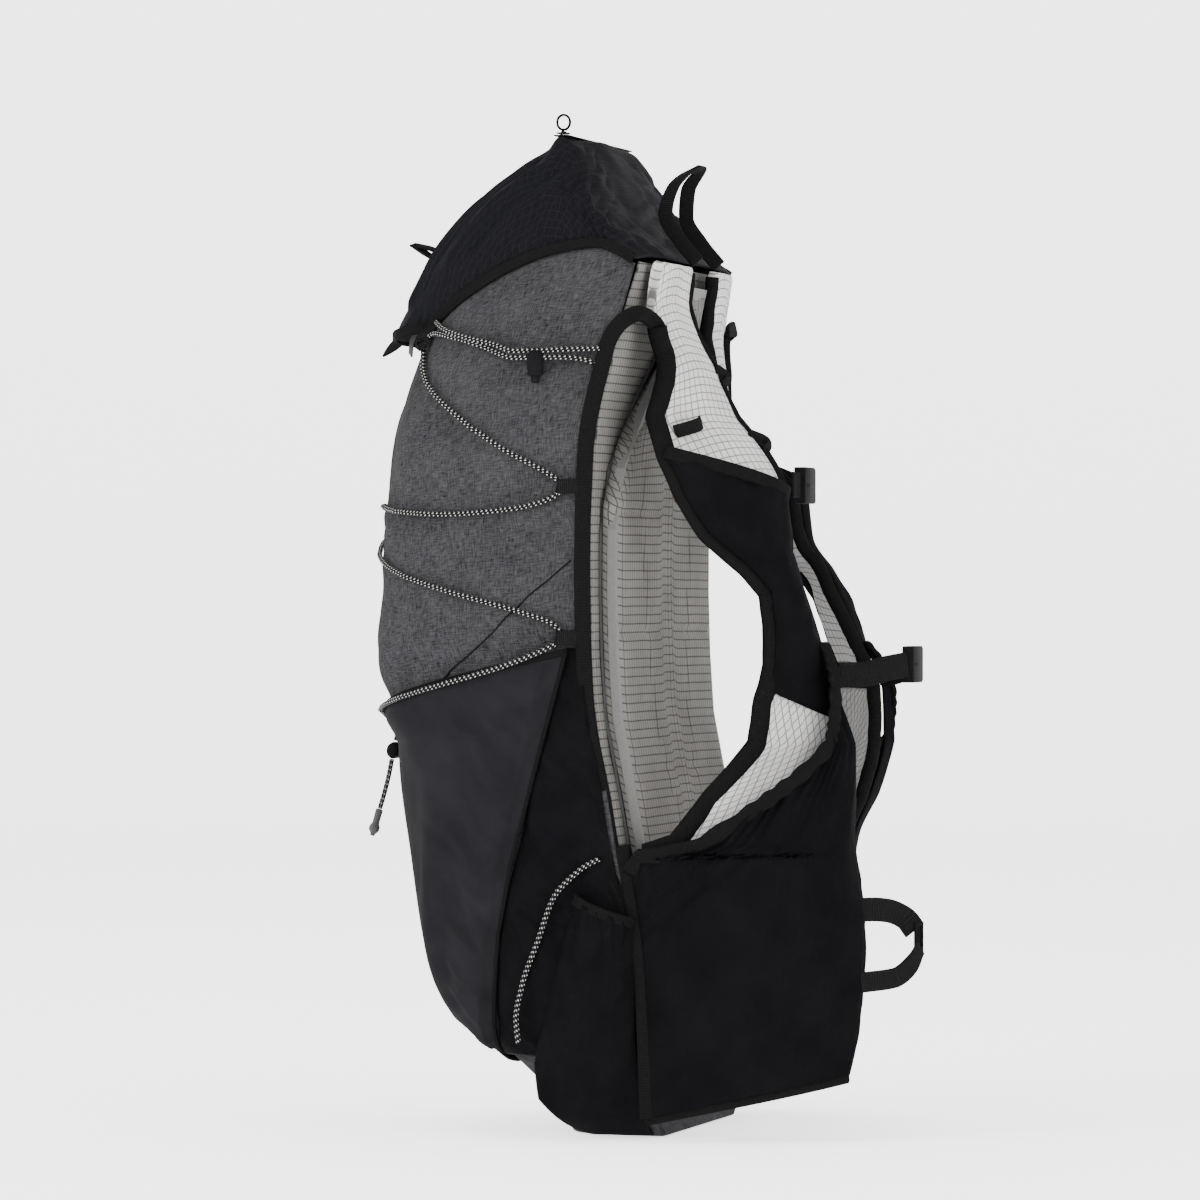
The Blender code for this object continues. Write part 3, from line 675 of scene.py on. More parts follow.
def joined(name, meshes, replaces, body, matrix=None):
    """One plastic piece from several bmesh parts, placed by matrix."""
    whole = bmesh.new()
    for part in meshes:
        held = bpy.data.meshes.new("part")
        part.to_mesh(held)
        part.free()
        whole.from_mesh(held)
        bpy.data.meshes.remove(held)
    mesh = bpy.data.meshes.new(name)
    whole.to_mesh(mesh)
    whole.free()
    mesh.transform(Matrix.Scale(MM, 4))
    mesh.polygons.foreach_set("use_smooth", [True] * len(mesh.polygons))
    mesh.set_sharp_from_angle(angle=math.radians(50))
    mesh.materials.append(MATERIALS["plastic"])
    obj = bpy.data.objects.new(name, mesh)
    if matrix is not None:
        obj.matrix_world = matrix
    bpy.context.scene.collection.objects.link(obj)
    return settle(obj, replaces, body)


def bar(size, centre, bevel=0.8, taper=1.0):
    """A rounded moulded bar; taper narrows its +Y end."""
    bm = bmesh.new()
    bmesh.ops.create_cube(bm, size=1.0)
    for vert in bm.verts:
        narrow = taper if vert.co.y > 0 else 1.0
        vert.co = Vector((
            vert.co.x * size[0] + centre[0], vert.co.y * size[1] + centre[1],
            vert.co.z * size[2] * narrow + centre[2],
        ))
    bmesh.ops.bevel(bm, geom=bm.edges[:], offset=bevel, segments=3, profile=0.5, affect="EDGES")
    return bm


# Bag -------------------------------------------------------------------------------------------

# The lace on one side, from its sewn top end to the front lock: millimetres round the bag from the
# front middle, and height.
LACE_ROUTE = (
    (246, 451), (236, 454), (222, 455), (206, 455), (190, 455), (176, 458), (158, 463), (133, 468),
    (107, 471), (96, 466), (107, 452), (153, 424), (199, 400), (229, 386), (237, 380), (229, 373),
    (204, 367), (158, 364), (115, 366), (64, 370), (31, 368), (22, 362), (31, 355), (64, 345),
    (115, 331), (166, 318), (214, 306), (233, 299), (237, 292), (229, 286), (204, 276), (158, 264),
    (115, 255), (64, 247), (31, 241), (15, 238),
)
LOCK_ROUND, LOCK_HEIGHT = 206.0, 455.0
SIDE_SEAM = ((17, 337), (-15, 311), (-37, 289), (-88, 248))
POCKET_EDGE_X = Curve(((40, -32), (120, -24), (160, -16), (284, 16)), straight=True)


def body_push(share, z):
    """How far the filled cloth stands out: soft folds, drawn in along the lace and the side seam."""
    around = share * HALF_ROUND
    lace = distance(np.abs(around), z, along_route(LACE_ROUTE, 90))
    seam_line = [(float(share_at(x, height)) * HALF_ROUND, height) for x, height in SIDE_SEAM]
    seam = distance(np.abs(around), z, seam_line)
    calm = 1 - np.exp(-((lace / 16) ** 2))
    below_lid = ramp(bag_top(share) - z, 30)
    folds = 1.5 * ripple(around, z, 3, 80, 1.8, 1.2) + 0.55 * ripple(around, z, 4, 26, 2.6, 0.9)
    pucker = 0.7 * ripple(around, z, 5, 11, 3.0, 1.45) * np.exp(-((lace / 13) ** 2))
    tucked = 1.7 * (1 - np.exp(-((lace / 34) ** 2))) - 1.0 * np.exp(-((lace / 4.5) ** 2))
    groove = 0.9 * np.exp(-((seam / 1.1) ** 2)) - 0.5 * np.exp(-(((seam - 3) / 1.6) ** 2))
    return below_lid * (calm * folds + pucker + tucked) - groove


def bag():
    u, v = grid(300, 170)
    share = spread(0.998, -0.998, u)
    z = spread(BASE_TOP + 0.4, bag_top(share), v)
    panel(
        "body_cloth", stack(bag_point(share, z)), 1.5, "heather",
        ("front_panel", "side_panel_right", "side_panel_left"), push=body_push(share, z),
    )

    def ring(height, inset=0.0, scale=1.0):
        edge = stack(bag_point(np.linspace(-0.998, 0.998, 150), height, -inset))
        half = edge[-1, 1]
        back = np.linspace(half, -half, 26)[1:-1]
        straight = np.stack([0 * back + float(BACK_X(height)) - inset, back, 0 * back + height], axis=-1)
        points = np.concatenate([edge, straight])
        centre = np.array([28.0, 0.0, height])
        return centre + (points - centre) * scale

    heights = (0.3, 1.2, 4.0, 8.0, 12.0, 19.0, 26.0, 34.0, 41.0, BASE_TOP)
    rings = [ring(0.0, 0.0, scale) for scale in (0.2, 0.6, 0.9, 0.975)] + [ring(h) for h in heights]
    rings += [ring(h, 2.0) for h in (BASE_TOP, 30.0, 14.0, 5.0)]
    points = np.array(rings)
    count, around = points.shape[:2]
    index = np.arange(count * around).reshape(count, around)
    quads = quads_between(index[:-1], index[1:])
    cloth = np.zeros((count, around, 3))
    step = np.linalg.norm(np.diff(points[8], axis=0, prepend=points[8][:1]), axis=-1)
    cloth[..., 0] = np.cumsum(step)[None]
    cloth[..., 1] = np.cumsum(
        np.linalg.norm(np.diff(points, axis=0, prepend=points[:1]), axis=-1), axis=0
    )
    turned_out(finished(
        "base_cloth", points.reshape(-1, 3),
        quads.tolist() + [index[0, ::-1].tolist(), index[-1].tolist()],
        cloth.reshape(-1, 3), "heather", ("base_panel",), "bag",
    ))

    shares = np.linspace(-0.97, 0.97, 200)
    seam = stack(bag_point(shares, BASE_TOP + 1.0, 0.6))
    cord("base_seam_piping", seam, 1.1, "binding", outward=(0, 0, 1))

    u, v = grid(60, 90)
    half = Curve(((BASE_TOP, 120), (120, 126), (400, 126), (450, 120), (512, 108)), straight=True)
    z = spread(BASE_TOP + 0.4, 511.0, v)
    points = stack((BACK_X(z) - 0.2, spread(-1, 1, u) * half(z), z))
    # The rear wall takes the back panel's mesh colour, darkened as painted shade.
    panel(
        "rear_wall_cloth", points, 1.5, "back_mesh", ("rear_wall",),
        push=0.25 * ripple(points[..., 1], z, 31, 40),
    )

    u, v = grid(120, 200)
    z = spread(64.0, 500.0, v)
    y = spread(-1, 1, u) * BACK_HALF(z)
    margin = np.minimum(np.minimum(BACK_HALF(z) - np.abs(y), z - 64), 500 - z) / 13.0
    crown = np.sqrt(1 - (1 - np.clip(margin, 0, 1)) ** 2)
    channel = np.exp(-((y / 9) ** 2)) + np.exp(-(((np.abs(y) - 14 - 0.16 * (z - 90)) / 3.0) ** 2))
    quilt = sum(np.exp(-(((z - level) / 3.0) ** 2)) for level in (135, 215, 295, 365))
    out = 2.4 + 10.4 * crown - 1.6 * channel * crown - 1.3 * quilt * crown * (np.abs(y) > 12)
    points = stack((BACK_X(z) + out, y, z))
    # The back pad's mesh colour is darkened as painted shade.
    pad = panel("back_mesh_cloth", points, 1.2, "back_mesh", ("back_mesh",))

    u, v = grid(260, 14)
    share = spread(0.9, -0.9, u)
    z = bag_top(share) + spread(-26, 2.0, v)
    gather = 0.55 * np.sin(share * HALF_ROUND * TURN / 9.5 + 1.3 * np.sin(share * 31))
    panel(
        "collar_cloth", stack(bag_point(share, z, -3.2)), 1.0, "nylon", ("collar",),
        push=gather * np.clip(v * 1.6, 0, 1),
    )
    for word, side in SIDES.items():
        z = np.linspace(52, 462, 130)
        path = np.stack([BACK_X(z) - 4.6, side * (HALF_WIDTH(z) + 1.3), z], axis=-1)
        hole = [
            stack(vest_point(side, float(ARMHOLE(height)) + 1.9, height, -2.0)).tolist()
            for height in (474, 466, 452)
        ]
        crest = [
            [float(BACK_X(476.0)) + 0.5, side * 123.5, 475.0],
            [float(BACK_X(480.0)) + 8, side * 116.0, 480.5],
        ]
        path = along_route([*path.tolist(), *crest, *hole], 260)
        path[:, 1] += side * 0.2 * ripple(path[:, 2], 0 * path[:, 2], 41, 16)
        tape(f"back_edge_binding_{word}", path, 9.5, 3.4, (0.16, side, 0.05), "binding")


def side_seam(word, side):
    """The seam that slants down and forwards over the side."""
    path = along_route(SIDE_SEAM, 160)
    share = side * share_at(path[:, 0], path[:, 1])
    points = stack(bag_point(share, path[:, 1], body_push(share, path[:, 1]) + 0.35))
    cord(f"side_seam_{word}", points, 0.55, "webbing", outward=(0.2, side, 0.3))


def flank(word, side):
    """Black stretch over the side, from the front pocket's edge to the back."""
    u, v = grid(110, 150)
    turn = u if side < 0 else 1 - u
    z = spread(BASE_TOP + 2.0, 286.0, v)
    share = side * spread(share_at(POCKET_EDGE_X(z), z) - 0.004, 0.986, turn)
    around = share * HALF_ROUND
    inside = fade(turn, 0.1) * fade(v, 0.08)
    folds = np.abs(1.3 * ripple(around, z, 15, 30, 3.0, 1.2))
    folds = folds + np.abs(0.8 * ripple(around, z, 16, 14, 3.2, 0.7))
    panel(
        f"flank_cloth_{word}", stack(bag_point(share, z)), 0.8, "stretch_painted_shade",
        push=body_push(share, z) + 1.3 + inside * folds,
    )


def front_pocket():
    u, v = grid(240, 120)
    round_front = 1 - 2 * u
    z = spread(41.0, 234 + 50 * power(np.abs(round_front), 1.15), v ** 1.4)
    share = round_front * share_at(POCKET_EDGE_X(z), z)
    bulge = (1 - np.abs(round_front) ** 3) * power(np.sin(math.pi * np.minimum(v, 0.5)), 0.5)
    calm = 1 - ramp(v - 0.82, 0.18) ** 2
    points = stack(bag_point(share, z, 4.8 + 9 * bulge * (0.1 + 0.9 * calm)))
    around = share * HALF_ROUND
    flank = ramp(np.abs(round_front) - 0.6, 0.25)
    edge = ramp(1 - np.abs(round_front), 0.05) * ramp(v, 0.06)
    folds = 1.9 * ripple(around, z, 11, 95, 2.6, 1.35)
    small = 1.9 * ripple(around, z, 12, 26, 3.2, 1.05) + 0.8 * ripple(around, z, 13, 12, 3.0, 0.8)
    folds = folds + flank * small
    hang = 2.6 * np.exp(-(((np.abs(round_front) - 0.66) / 0.055) ** 2)) * np.clip(v * 2, 0, 1)
    dip = -2.4 * np.exp(-(((np.abs(round_front) - 0.77) / 0.05) ** 2)) * np.clip(v * 2, 0, 1)
    foot = 1.2 * np.sin(around * TURN / 15 + 2 * np.sin(around / 21)) * np.exp(-((v / 0.12) ** 2))
    panel(
        "front_pocket_cloth", points, 1.1, "stretch", ("front_stretch_pocket",),
        push=edge * (0.15 + 0.85 * calm) * (folds + hang + dip + foot),
    )
    rim = points[-1]
    out = unit(np.stack([rim[:, 0] - 20, rim[:, 1], 0 * rim[:, 0]], axis=-1))
    tape("front_pocket_hem", rim + out * 0.1, 4.0, 1.6, out, "binding")
    for word, side in SIDES.items():
        column = points[:, 0 if side > 0 else -1]
        out = np.array([0, side, 0])
        cord(f"front_pocket_side_seam_{word}", column + out * 0.3, 1.2, "binding", outward=out)


def bottle_pocket(word, side):
    u, v = grid(90, 90)
    turn = u if side < 0 else 1 - u
    low = 0.8 + 22.0 * np.clip(1 - turn / 0.45, 0, 1) ** 2
    z = spread(low, spread(141.0, 127.0, turn), v)
    x = spread(spread(-6.0, 21.0, ramp(z - 44, 97)), 57.0, turn)
    bulge = power(np.sin(math.pi * turn), 0.6) * np.minimum(1.0, v * 2.0) ** 0.6
    points = stack((x, side * (HALF_WIDTH(z) + 3.6 + 15 * bulge), z))
    inside = fade(turn, 0.12) * ramp(v, 0.1)
    folds = 1.2 * ripple(x, z, 21 + side, 34, 2.4, 0.7) + 0.6 * ripple(x, z, 24, 13, 3.0, 1.3)
    gather = 0.7 * np.sin(x * TURN / 7.0 + 1.5 * np.sin(x / 9)) * np.exp(-(((1 - v) / 0.14) ** 2))
    panel(
        f"bottle_pocket_cloth_{word}", points, 1.2, "stretch_painted_shade",
        (f"bottle_pocket_{word}",), push=inside * (folds + gather),
    )
    rim = points[-1]
    rim = rim + np.array([0, side * 0.4, 0])
    tape(f"bottle_pocket_hem_{word}", rim, 6.5, 2.2, (0, side, 0), "binding")


# Lid -------------------------------------------------------------------------------------------


def lid():
    u, v = grid(240, 200)
    share, along = 2 * u - 1, 1 - v
    points = stack(lid_point(share, along))
    spot_a = share * 150
    spot_b = along * 260
    rim = ramp(1 - np.abs(share), 0.07)
    sides = ramp(np.abs(share) - 0.22, 0.3)
    drawn = sum(
        height * crease(np.abs(spot_a), spot_b, line, width)
        for line, width, height in (
            (((42, 150), (62, 80), (78, 20)), 5.0, 2.6), (((52, 152), (76, 84), (96, 34)), 4.0, -2.2),
            (((64, 160), (92, 92), (112, 54)), 5.5, 2.4), (((78, 166), (104, 112), (122, 76)), 4.0, -1.8),
            (((92, 172), (116, 128), (132, 98)), 5.0, 2.0), (((30, 142), (44, 76), (58, 12)), 4.0, -1.6),
            (((100, 196), (122, 160), (138, 130)), 4.0, 1.8),
        )
    )
    back = ramp(along - 0.56, 0.08) * ramp(0.985 - along, 0.03)
    wander = 0.9 * ripple(spot_a, spot_b, 53, 46)
    bumps = 1.2 * np.abs(np.sin(spot_b * math.pi / 15 + wander))
    bumps = back * (bumps + 0.35 * ripple(spot_a, spot_b, 54, 20, 2.2))
    soft = 1.1 * ripple(spot_a, spot_b, 51, 60, 2.4, 1.3) + 0.5 * ripple(spot_a, spot_b, 52, 20, 2.5, 1.0)
    seam = -1.1 * np.exp(-(((np.abs(share) - 0.40) / 0.008) ** 2)) * (along < 0.52)
    gather = 0.5 * np.sin(along * 150 + 1.5 * np.sin(along * 33))
    gather = gather * np.exp(-(((1 - np.abs(share)) / 0.07) ** 2))
    push = rim * (sides * drawn + soft + seam) + bumps * rim + gather * ramp(1 - np.abs(share), 0.012)
    push = push * fade(along, 0.02)
    near_zip = np.exp(-(((points[..., 0] - ZIP_X) / 9.0) ** 2))
    near_zip = near_zip * ramp(ZIP_HALF + 12 - np.abs(points[..., 1]), 12) * (np.abs(share) < 0.9)
    points[..., 2] += near_zip * np.maximum(ZIP_Z - 0.4 - points[..., 2], 0)
    push = push * (1 - near_zip)
    panel("lid_cloth", points, 1.6, "nylon", ("lid_top",), "lid", push=push)

    for word, column, side in (("right", 0, RIGHT), ("left", -1, LEFT)):
        edge = points[:, column] + np.array([0, side * 0.6, 0])
        out = np.stack([0 * edge[:, 0], 0 * edge[:, 0] + side, 0 * edge[:, 0]], axis=-1)
        tape(f"lid_hem_{word}", edge, 6.5, 2.6, out, "binding", body="lid")
    front = points[-1]
    out = unit(np.stack([front[:, 0] + 10, front[:, 1], 0 * front[:, 0]], axis=-1))
    tape("lid_front_hem", front + out * 0.3, 6.5, 2.6, out, "binding", body="lid")

    u, v = grid(100, 90)
    along = spread(0.93, 0.16, v)
    across = (2 * u - 1) * 0.93
    x, y, _ = lid_point(across, along)
    round_bag = spread(LID_EDGE_START, LID_EDGE_END, along)
    z = bag_top(round_bag) + 4.6 + 8 * (1 - across * across)
    points = stack((-20 + (x + 20) * 0.94, y * 0.95, z))
    panel(
        "lid_floor_cloth", points, 1.0, "nylon", ("lid_floor",), "lid",
        push=0.5 * ripple(x, y, 61, 45),
    )

    # The zip: a tape with two rows of teeth along it.
    teeth = []
    for i, y in enumerate(np.arange(-ZIP_HALF + 3, ZIP_HALF - 2, 1.5)):
        teeth.append(bar((1.9, 0.9, 0.5), (ZIP_X + (0.7 if i % 2 else -0.7), y, ZIP_Z + 0.65), 0.2))
    joined("lid_zip_teeth", teeth, (), "lid")
    y = np.linspace(-ZIP_HALF, ZIP_HALF, 90)
    path = np.stack([0 * y + ZIP_X, y, 0 * y + ZIP_Z + 0.2], axis=-1)
    tape("lid_zip_tape", path, 9.0, 0.8, (0, 0, 1), "binding", ("lid_zip",), "lid")
    top = ZIP_Z + 1.3
    slider = [
        bar((6.4, 9.0, 0.9), (ZIP_X, -ZIP_HALF + 6, top + 0.45), 0.3, 0.8),
        bar((1.6, 6.5, 1.0), (ZIP_X, -ZIP_HALF + 6, top + 1.3), 0.4),
    ]
    joined("zip_slider_body", slider, ("lid_zip_slider",), "zip_slider")
    turns = np.linspace(0, TURN, 40, endpoint=False)
    loop = np.stack([
        ZIP_X + 3.9 * np.cos(turns), 0 * turns - ZIP_HALF + 6, top + 7.0 + 4.4 * np.sin(turns),
    ], axis=-1)
    centre = np.array([ZIP_X, -ZIP_HALF + 6, top + 7.0])
    sweep(
        "zip_pull_cord", loop, disc(0.75, 10), unit(loop - centre), "binding",
        ("lid_zip_pull",), "zip_pull", loop=True,
    )

    # The strap and its hook at the front, the pull tab on the lid's tip and the flank tab.
    strap = along_route([(-106, 0, 478), (-108, 0, 472), (-107, 0, 465), (-106, 0, 458)], 16)
    tape("lid_front_strap", strap, 15.0, 1.6, (-1, 0, 0), "webbing", ("lid_strap",), "lid")
    hook_x, hook_z = -106.5, 450.8
    hook = [
        bar((2.3, 19.5, 2.6), (hook_x, 0, hook_z + 5.0), 0.9),
        bar((2.3, 19.5, 2.6), (hook_x, 0, hook_z - 5.0), 0.9),
        bar((2.3, 2.8, 12.4), (hook_x, -8.4, hook_z), 0.9),
        bar((2.3, 2.8, 12.4), (hook_x, 8.4, hook_z), 0.9),
        bar((2.1, 15.0, 1.8), (hook_x, 0, hook_z + 0.4), 0.6),
    ]
    joined("front_hook", hook, ("lid_hook",), "lid_hook")
    leaf = along_route([(-117, -1, 478), (-123, -3, 472), (-129, -5, 466), (-134, -7, 461)], 26)
    widths = np.array([0.62, 0.85, 1.0, 1.0, 0.9, 0.62, 0.2])
    scale = np.interp(np.linspace(0, 1, 26), np.linspace(0, 1, 7), widths)
    sweep(
        "lid_tip_tab", leaf, rounded(15.0, 2.0), (-0.6, -0.55, 0.55), "binding",
        body="lid", scale=scale,
    )
    flank = along_route(
        [(-76, -60, 517), (-88, -62, 523), (-97, -63, 525), (-90, -64, 520), (-78, -62, 513)], 30
    )
    tape("lid_flank_tab", flank, 9.0, 1.4, (0.2, -0.2, 0.95), "webbing", body="lid")
    pale = along_route([(-92, -42, 485), (-101, -40, 478), (-107, -36, 468), (-109, -32, 461)], 16)
    tape("lid_keeper_tape", pale, 6.0, 1.2, (-0.8, -0.6, 0), "grey_tape", body="lid")

    half = [(67, 26, 514.6), (56, 26, 528), (47, 25, 544), (50, 18, 560), (60, 7, 571)]
    route = along_route(half + [(x, -y, z) for x, y, z in reversed(half)], 70)
    outward = np.cross(unit(np.gradient(route, axis=0)), (1.0, 0.0, 0.5))
    tape("haul_loop_webbing", route, 9.0, 2.0, outward, "webbing", ("haul_loop",), "haul_loop")


# Lace ------------------------------------------------------------------------------------------


def lace_path(side, lift, rise=0.0):
    route = along_route(LACE_ROUTE, 380)
    share = side * route[:, 0] / HALF_ROUND
    z = route[:, 1] + rise
    near = np.where(z > LOCK_HEIGHT - 3, np.abs(route[:, 0] - LOCK_ROUND), LOCK_ROUND)
    stand = (6.2 - 2.4) * (1 - ramp(near - 18, 20))
    drawn = np.clip(body_push(share, z), -1.2, 2.5)
    rim = 6.0 * ramp(290 - z, 8)
    return stack(bag_point(share, z, lift + stand + drawn * 0.8 + rim))


def evened(values, count):
    """The values of a short list, filled in to count."""
    return np.interp(np.linspace(0, len(values) - 1, count), np.arange(len(values)), values)


def laces():
    for word, side in SIDES.items():
        points = lace_path(side, 2.3)
        link = along_route([
            points[-6], (-118, side * 12, 238.5), (-123, -3 + side * 6, 235.5),
            (-125.5, -5.8 + side * 1.6, 229.5),
        ], 30)
        path = np.concatenate([points[:-6], link])
        path[1:-1] = (path[:-2] + 2 * path[1:-1] + path[2:]) / 4
        cord(f"lace_cord_{word}", path, 1.5, "cord", (f"lace_{word}",), outward=(0.31, side, 0.4))

        twin = along_route([
            (246, 460), (222, 459.5), (206, 459), (190, 459), (172, 463), (150, 467), (126, 472),
            (104, 478),
        ], 90)
        stand = 2.6 + 3.4 * (1 - ramp(np.abs(twin[:, 0] - LOCK_ROUND) - 18, 20))
        strand = stack(bag_point(side * twin[:, 0] / HALF_ROUND, twin[:, 1], stand))
        cord(f"lace_upper_strand_{word}", strand, 1.5, "cord", outward=(0.31, side, 0.4))

        for level, z in (("middle", 380.0), ("lower", 292.0)):
            shares = evened([0.978, 0.962, 0.944, 0.926, 0.918, 0.926, 0.944, 0.962], 30)
            lifts = evened([0.9, 2.4, 4.4, 4.6, 2.6, 0.9, 0.7, 0.6], 30)
            path = stack(bag_point(side * shares, z, lifts + 0.6))
            tape(
                f"lace_loop_{level}_{word}", path, 8.5, 1.1, (0.3, side, 0.05), "webbing",
                (f"lace_tab_{level}_{word}",),
            )
        shares = evened(np.array([92, 93, 95, 99, 101, 99, 96]) / HALF_ROUND, 28)
        heights = evened([484.0, 477, 469, 464, 466, 473, 480], 28)
        lifts = evened([1.2, 2.4, 4.6, 4.8, 3.2, 1.6, 1.2], 28)
        path = stack(bag_point(side * shares, heights, lifts + 0.8))
        tape(f"lace_loop_upper_{word}", path, 7.0, 1.1, (-0.5, side, 0.0), "webbing")

    shares = np.linspace(-0.115, 0.115, 50)
    swell = 1.0 + 3.0 * np.exp(-(((np.abs(shares) - 0.078) / 0.024) ** 2))
    path = stack(bag_point(shares, 362.0, swell))
    tape("lace_loop_front", path, 8.5, 1.2, (-1, 0, 0), "webbing", ("lace_anchor_front",))


def lock_frame(origin, run, out):
    """Axes of a cord lock: X along the cord, Z out of the bag, and the button along -Y."""
    run = Vector(run).normalized()
    out = (Vector(out) - run * Vector(out).dot(run)).normalized()
    rows = Matrix((run, out.cross(run), out)).transposed().to_4x4()
    return Matrix.Translation(Vector(origin) * MM) @ rows


def lathe(profile, flat):
    """A turned form about Y from (radius, y) pairs, flattened along Z."""
    count = 32
    bm = bmesh.new()
    rows = []
    for radius, y in profile:
        rows.append([
            bm.verts.new((radius * math.cos(t), y, flat * radius * math.sin(t)))
            for t in np.linspace(0, TURN, count, endpoint=False)
        ])
    for lower, upper in zip(rows, rows[1:]):
        for i in range(count):
            j = (i + 1) % count
            bm.faces.new((lower[i], lower[j], upper[j], upper[i]))
    bm.faces.new(rows[0])
    bm.faces.new(rows[-1][::-1])
    bmesh.ops.recalc_face_normals(bm, faces=bm.faces)
    return bm


def cord_lock(word, matrix):
    """The lock's barrel, domed at its +Y end, and the button in its other end."""
    mouth = -10.5
    barrel = lathe((
        (3.1, mouth + 8), (3.1, mouth + 0.4), (3.5, mouth), (4.4, mouth), (4.9, mouth + 0.5),
        (4.9, mouth + 1.6), (4.5, mouth + 2.0), (4.5, mouth + 3.0), (4.9, mouth + 3.4),
        (5.1, mouth + 6.0), (5.1, mouth + 11.0), (4.7, mouth + 13.0), (3.7, mouth + 14.3),
        (2.0, mouth + 14.9), (0.5, mouth + 15.0),
    ), 0.8)
    joined(f"lock_barrel_{word}", [barrel], (f"cord_lock_{word}",), f"lock_{word}", matrix)
    low = mouth - 4.5
    button = lathe((
        (0.4, low), (1.7, low + 0.2), (2.4, low + 0.8), (2.65, low + 1.8), (2.65, low + 8.6),
        (2.3, low + 9.0),
    ), 0.8)
    joined(
        f"lock_plunger_{word}", [button], (f"cord_lock_{word}_button",),
        f"lock_{word}_button", matrix,
    )


TAIL_TOP = (-128.5, -6.0, 218.0)
TAIL_ROUTE = (TAIL_TOP, (-130.5, -6.2, 208), (-133.0, -6.4, 198), (-136.0, -6.6, 188))


def lace_tail():
    """The lace's free end below the front lock: a stretch of cord, its sleeve and its knot."""
    path = along_route(TAIL_ROUTE, 40)
    tail = cord("lace_tail_cord", path, 1.5, "cord", ("lace_tail",), outward=(-1, 0.1, 0.2))
    last = path[-1]
    start = last + unit(path[-1] - path[-2]) * 0.4
    end = start + np.array([-4.5, -0.6, -16])
    spine = along_route([start, (start + end) / 2, end], 40)
    at = np.linspace(0, 1, 40)
    swell = np.interp(
        at, (0, 0.06, 0.5, 0.58, 0.66, 0.78, 0.86, 0.92, 1.0),
        (0.8, 0.9, 0.85, 1.0, 1.3, 1.3, 0.95, 0.6, 0.55),
    )
    knot = sweep(
        "lace_tail_sleeve", spine, disc(2.5, 18), (-1, 0.1, 0.3), "grey_tape",
        ("lace_tail_knot",), scale=swell,
    )
    length = float(np.linalg.norm(np.diff(path, axis=0), axis=1).sum()) * MM


def locks():
    for word, side in SIDES.items():
        def lace_at(length):
            return Vector([float(c) for c in bag_point(side * length / HALF_ROUND, LOCK_HEIGHT, 6.2)])

        here, ahead, behind = (lace_at(LOCK_ROUND + step) for step in (0, 12, -12))
        cord_lock(word, lock_frame(here, (behind - ahead) * side, (0, side, 0)))
    down = (Vector(TAIL_ROUTE[1]) - Vector(TAIL_ROUTE[0])).normalized()
    cord_lock("front", lock_frame(Vector(TAIL_TOP) - down * 5.4, down, (-1, 0, 0)))


def ski_cord(word, side):
    route = [(36, 164), (28, 160), (19, 153), (9, 142), (-1, 116), (-11, 90), (-15, 70), (-14, 56)]
    path = along_route(route, 120)
    y = side * (HALF_STRAIGHT(path[:, 1]) + 5.8)
    points = np.stack([path[:, 0], y, path[:, 1]], axis=-1)
    cord(f"flank_cord_{word}", points, 1.5, "cord", (f"ski_cord_{word}",), outward=(0.2, side, 0.3))


# Vest ------------------------------------------------------------------------------------------


def vest_out(side, degrees, z):
    return unit(stack(vest_point(side, degrees, z, 10.0)) - stack(vest_point(side, degrees, z, 0.0)))


def vest_grid(side, cells, low_edge, high_edge, low, high):
    u, v = grid(*cells)
    turn = u if side < 0 else 1 - u
    z = spread(low(turn), high(turn), v)
    return turn, v, z, spread(low_edge(z), high_edge(z), turn)


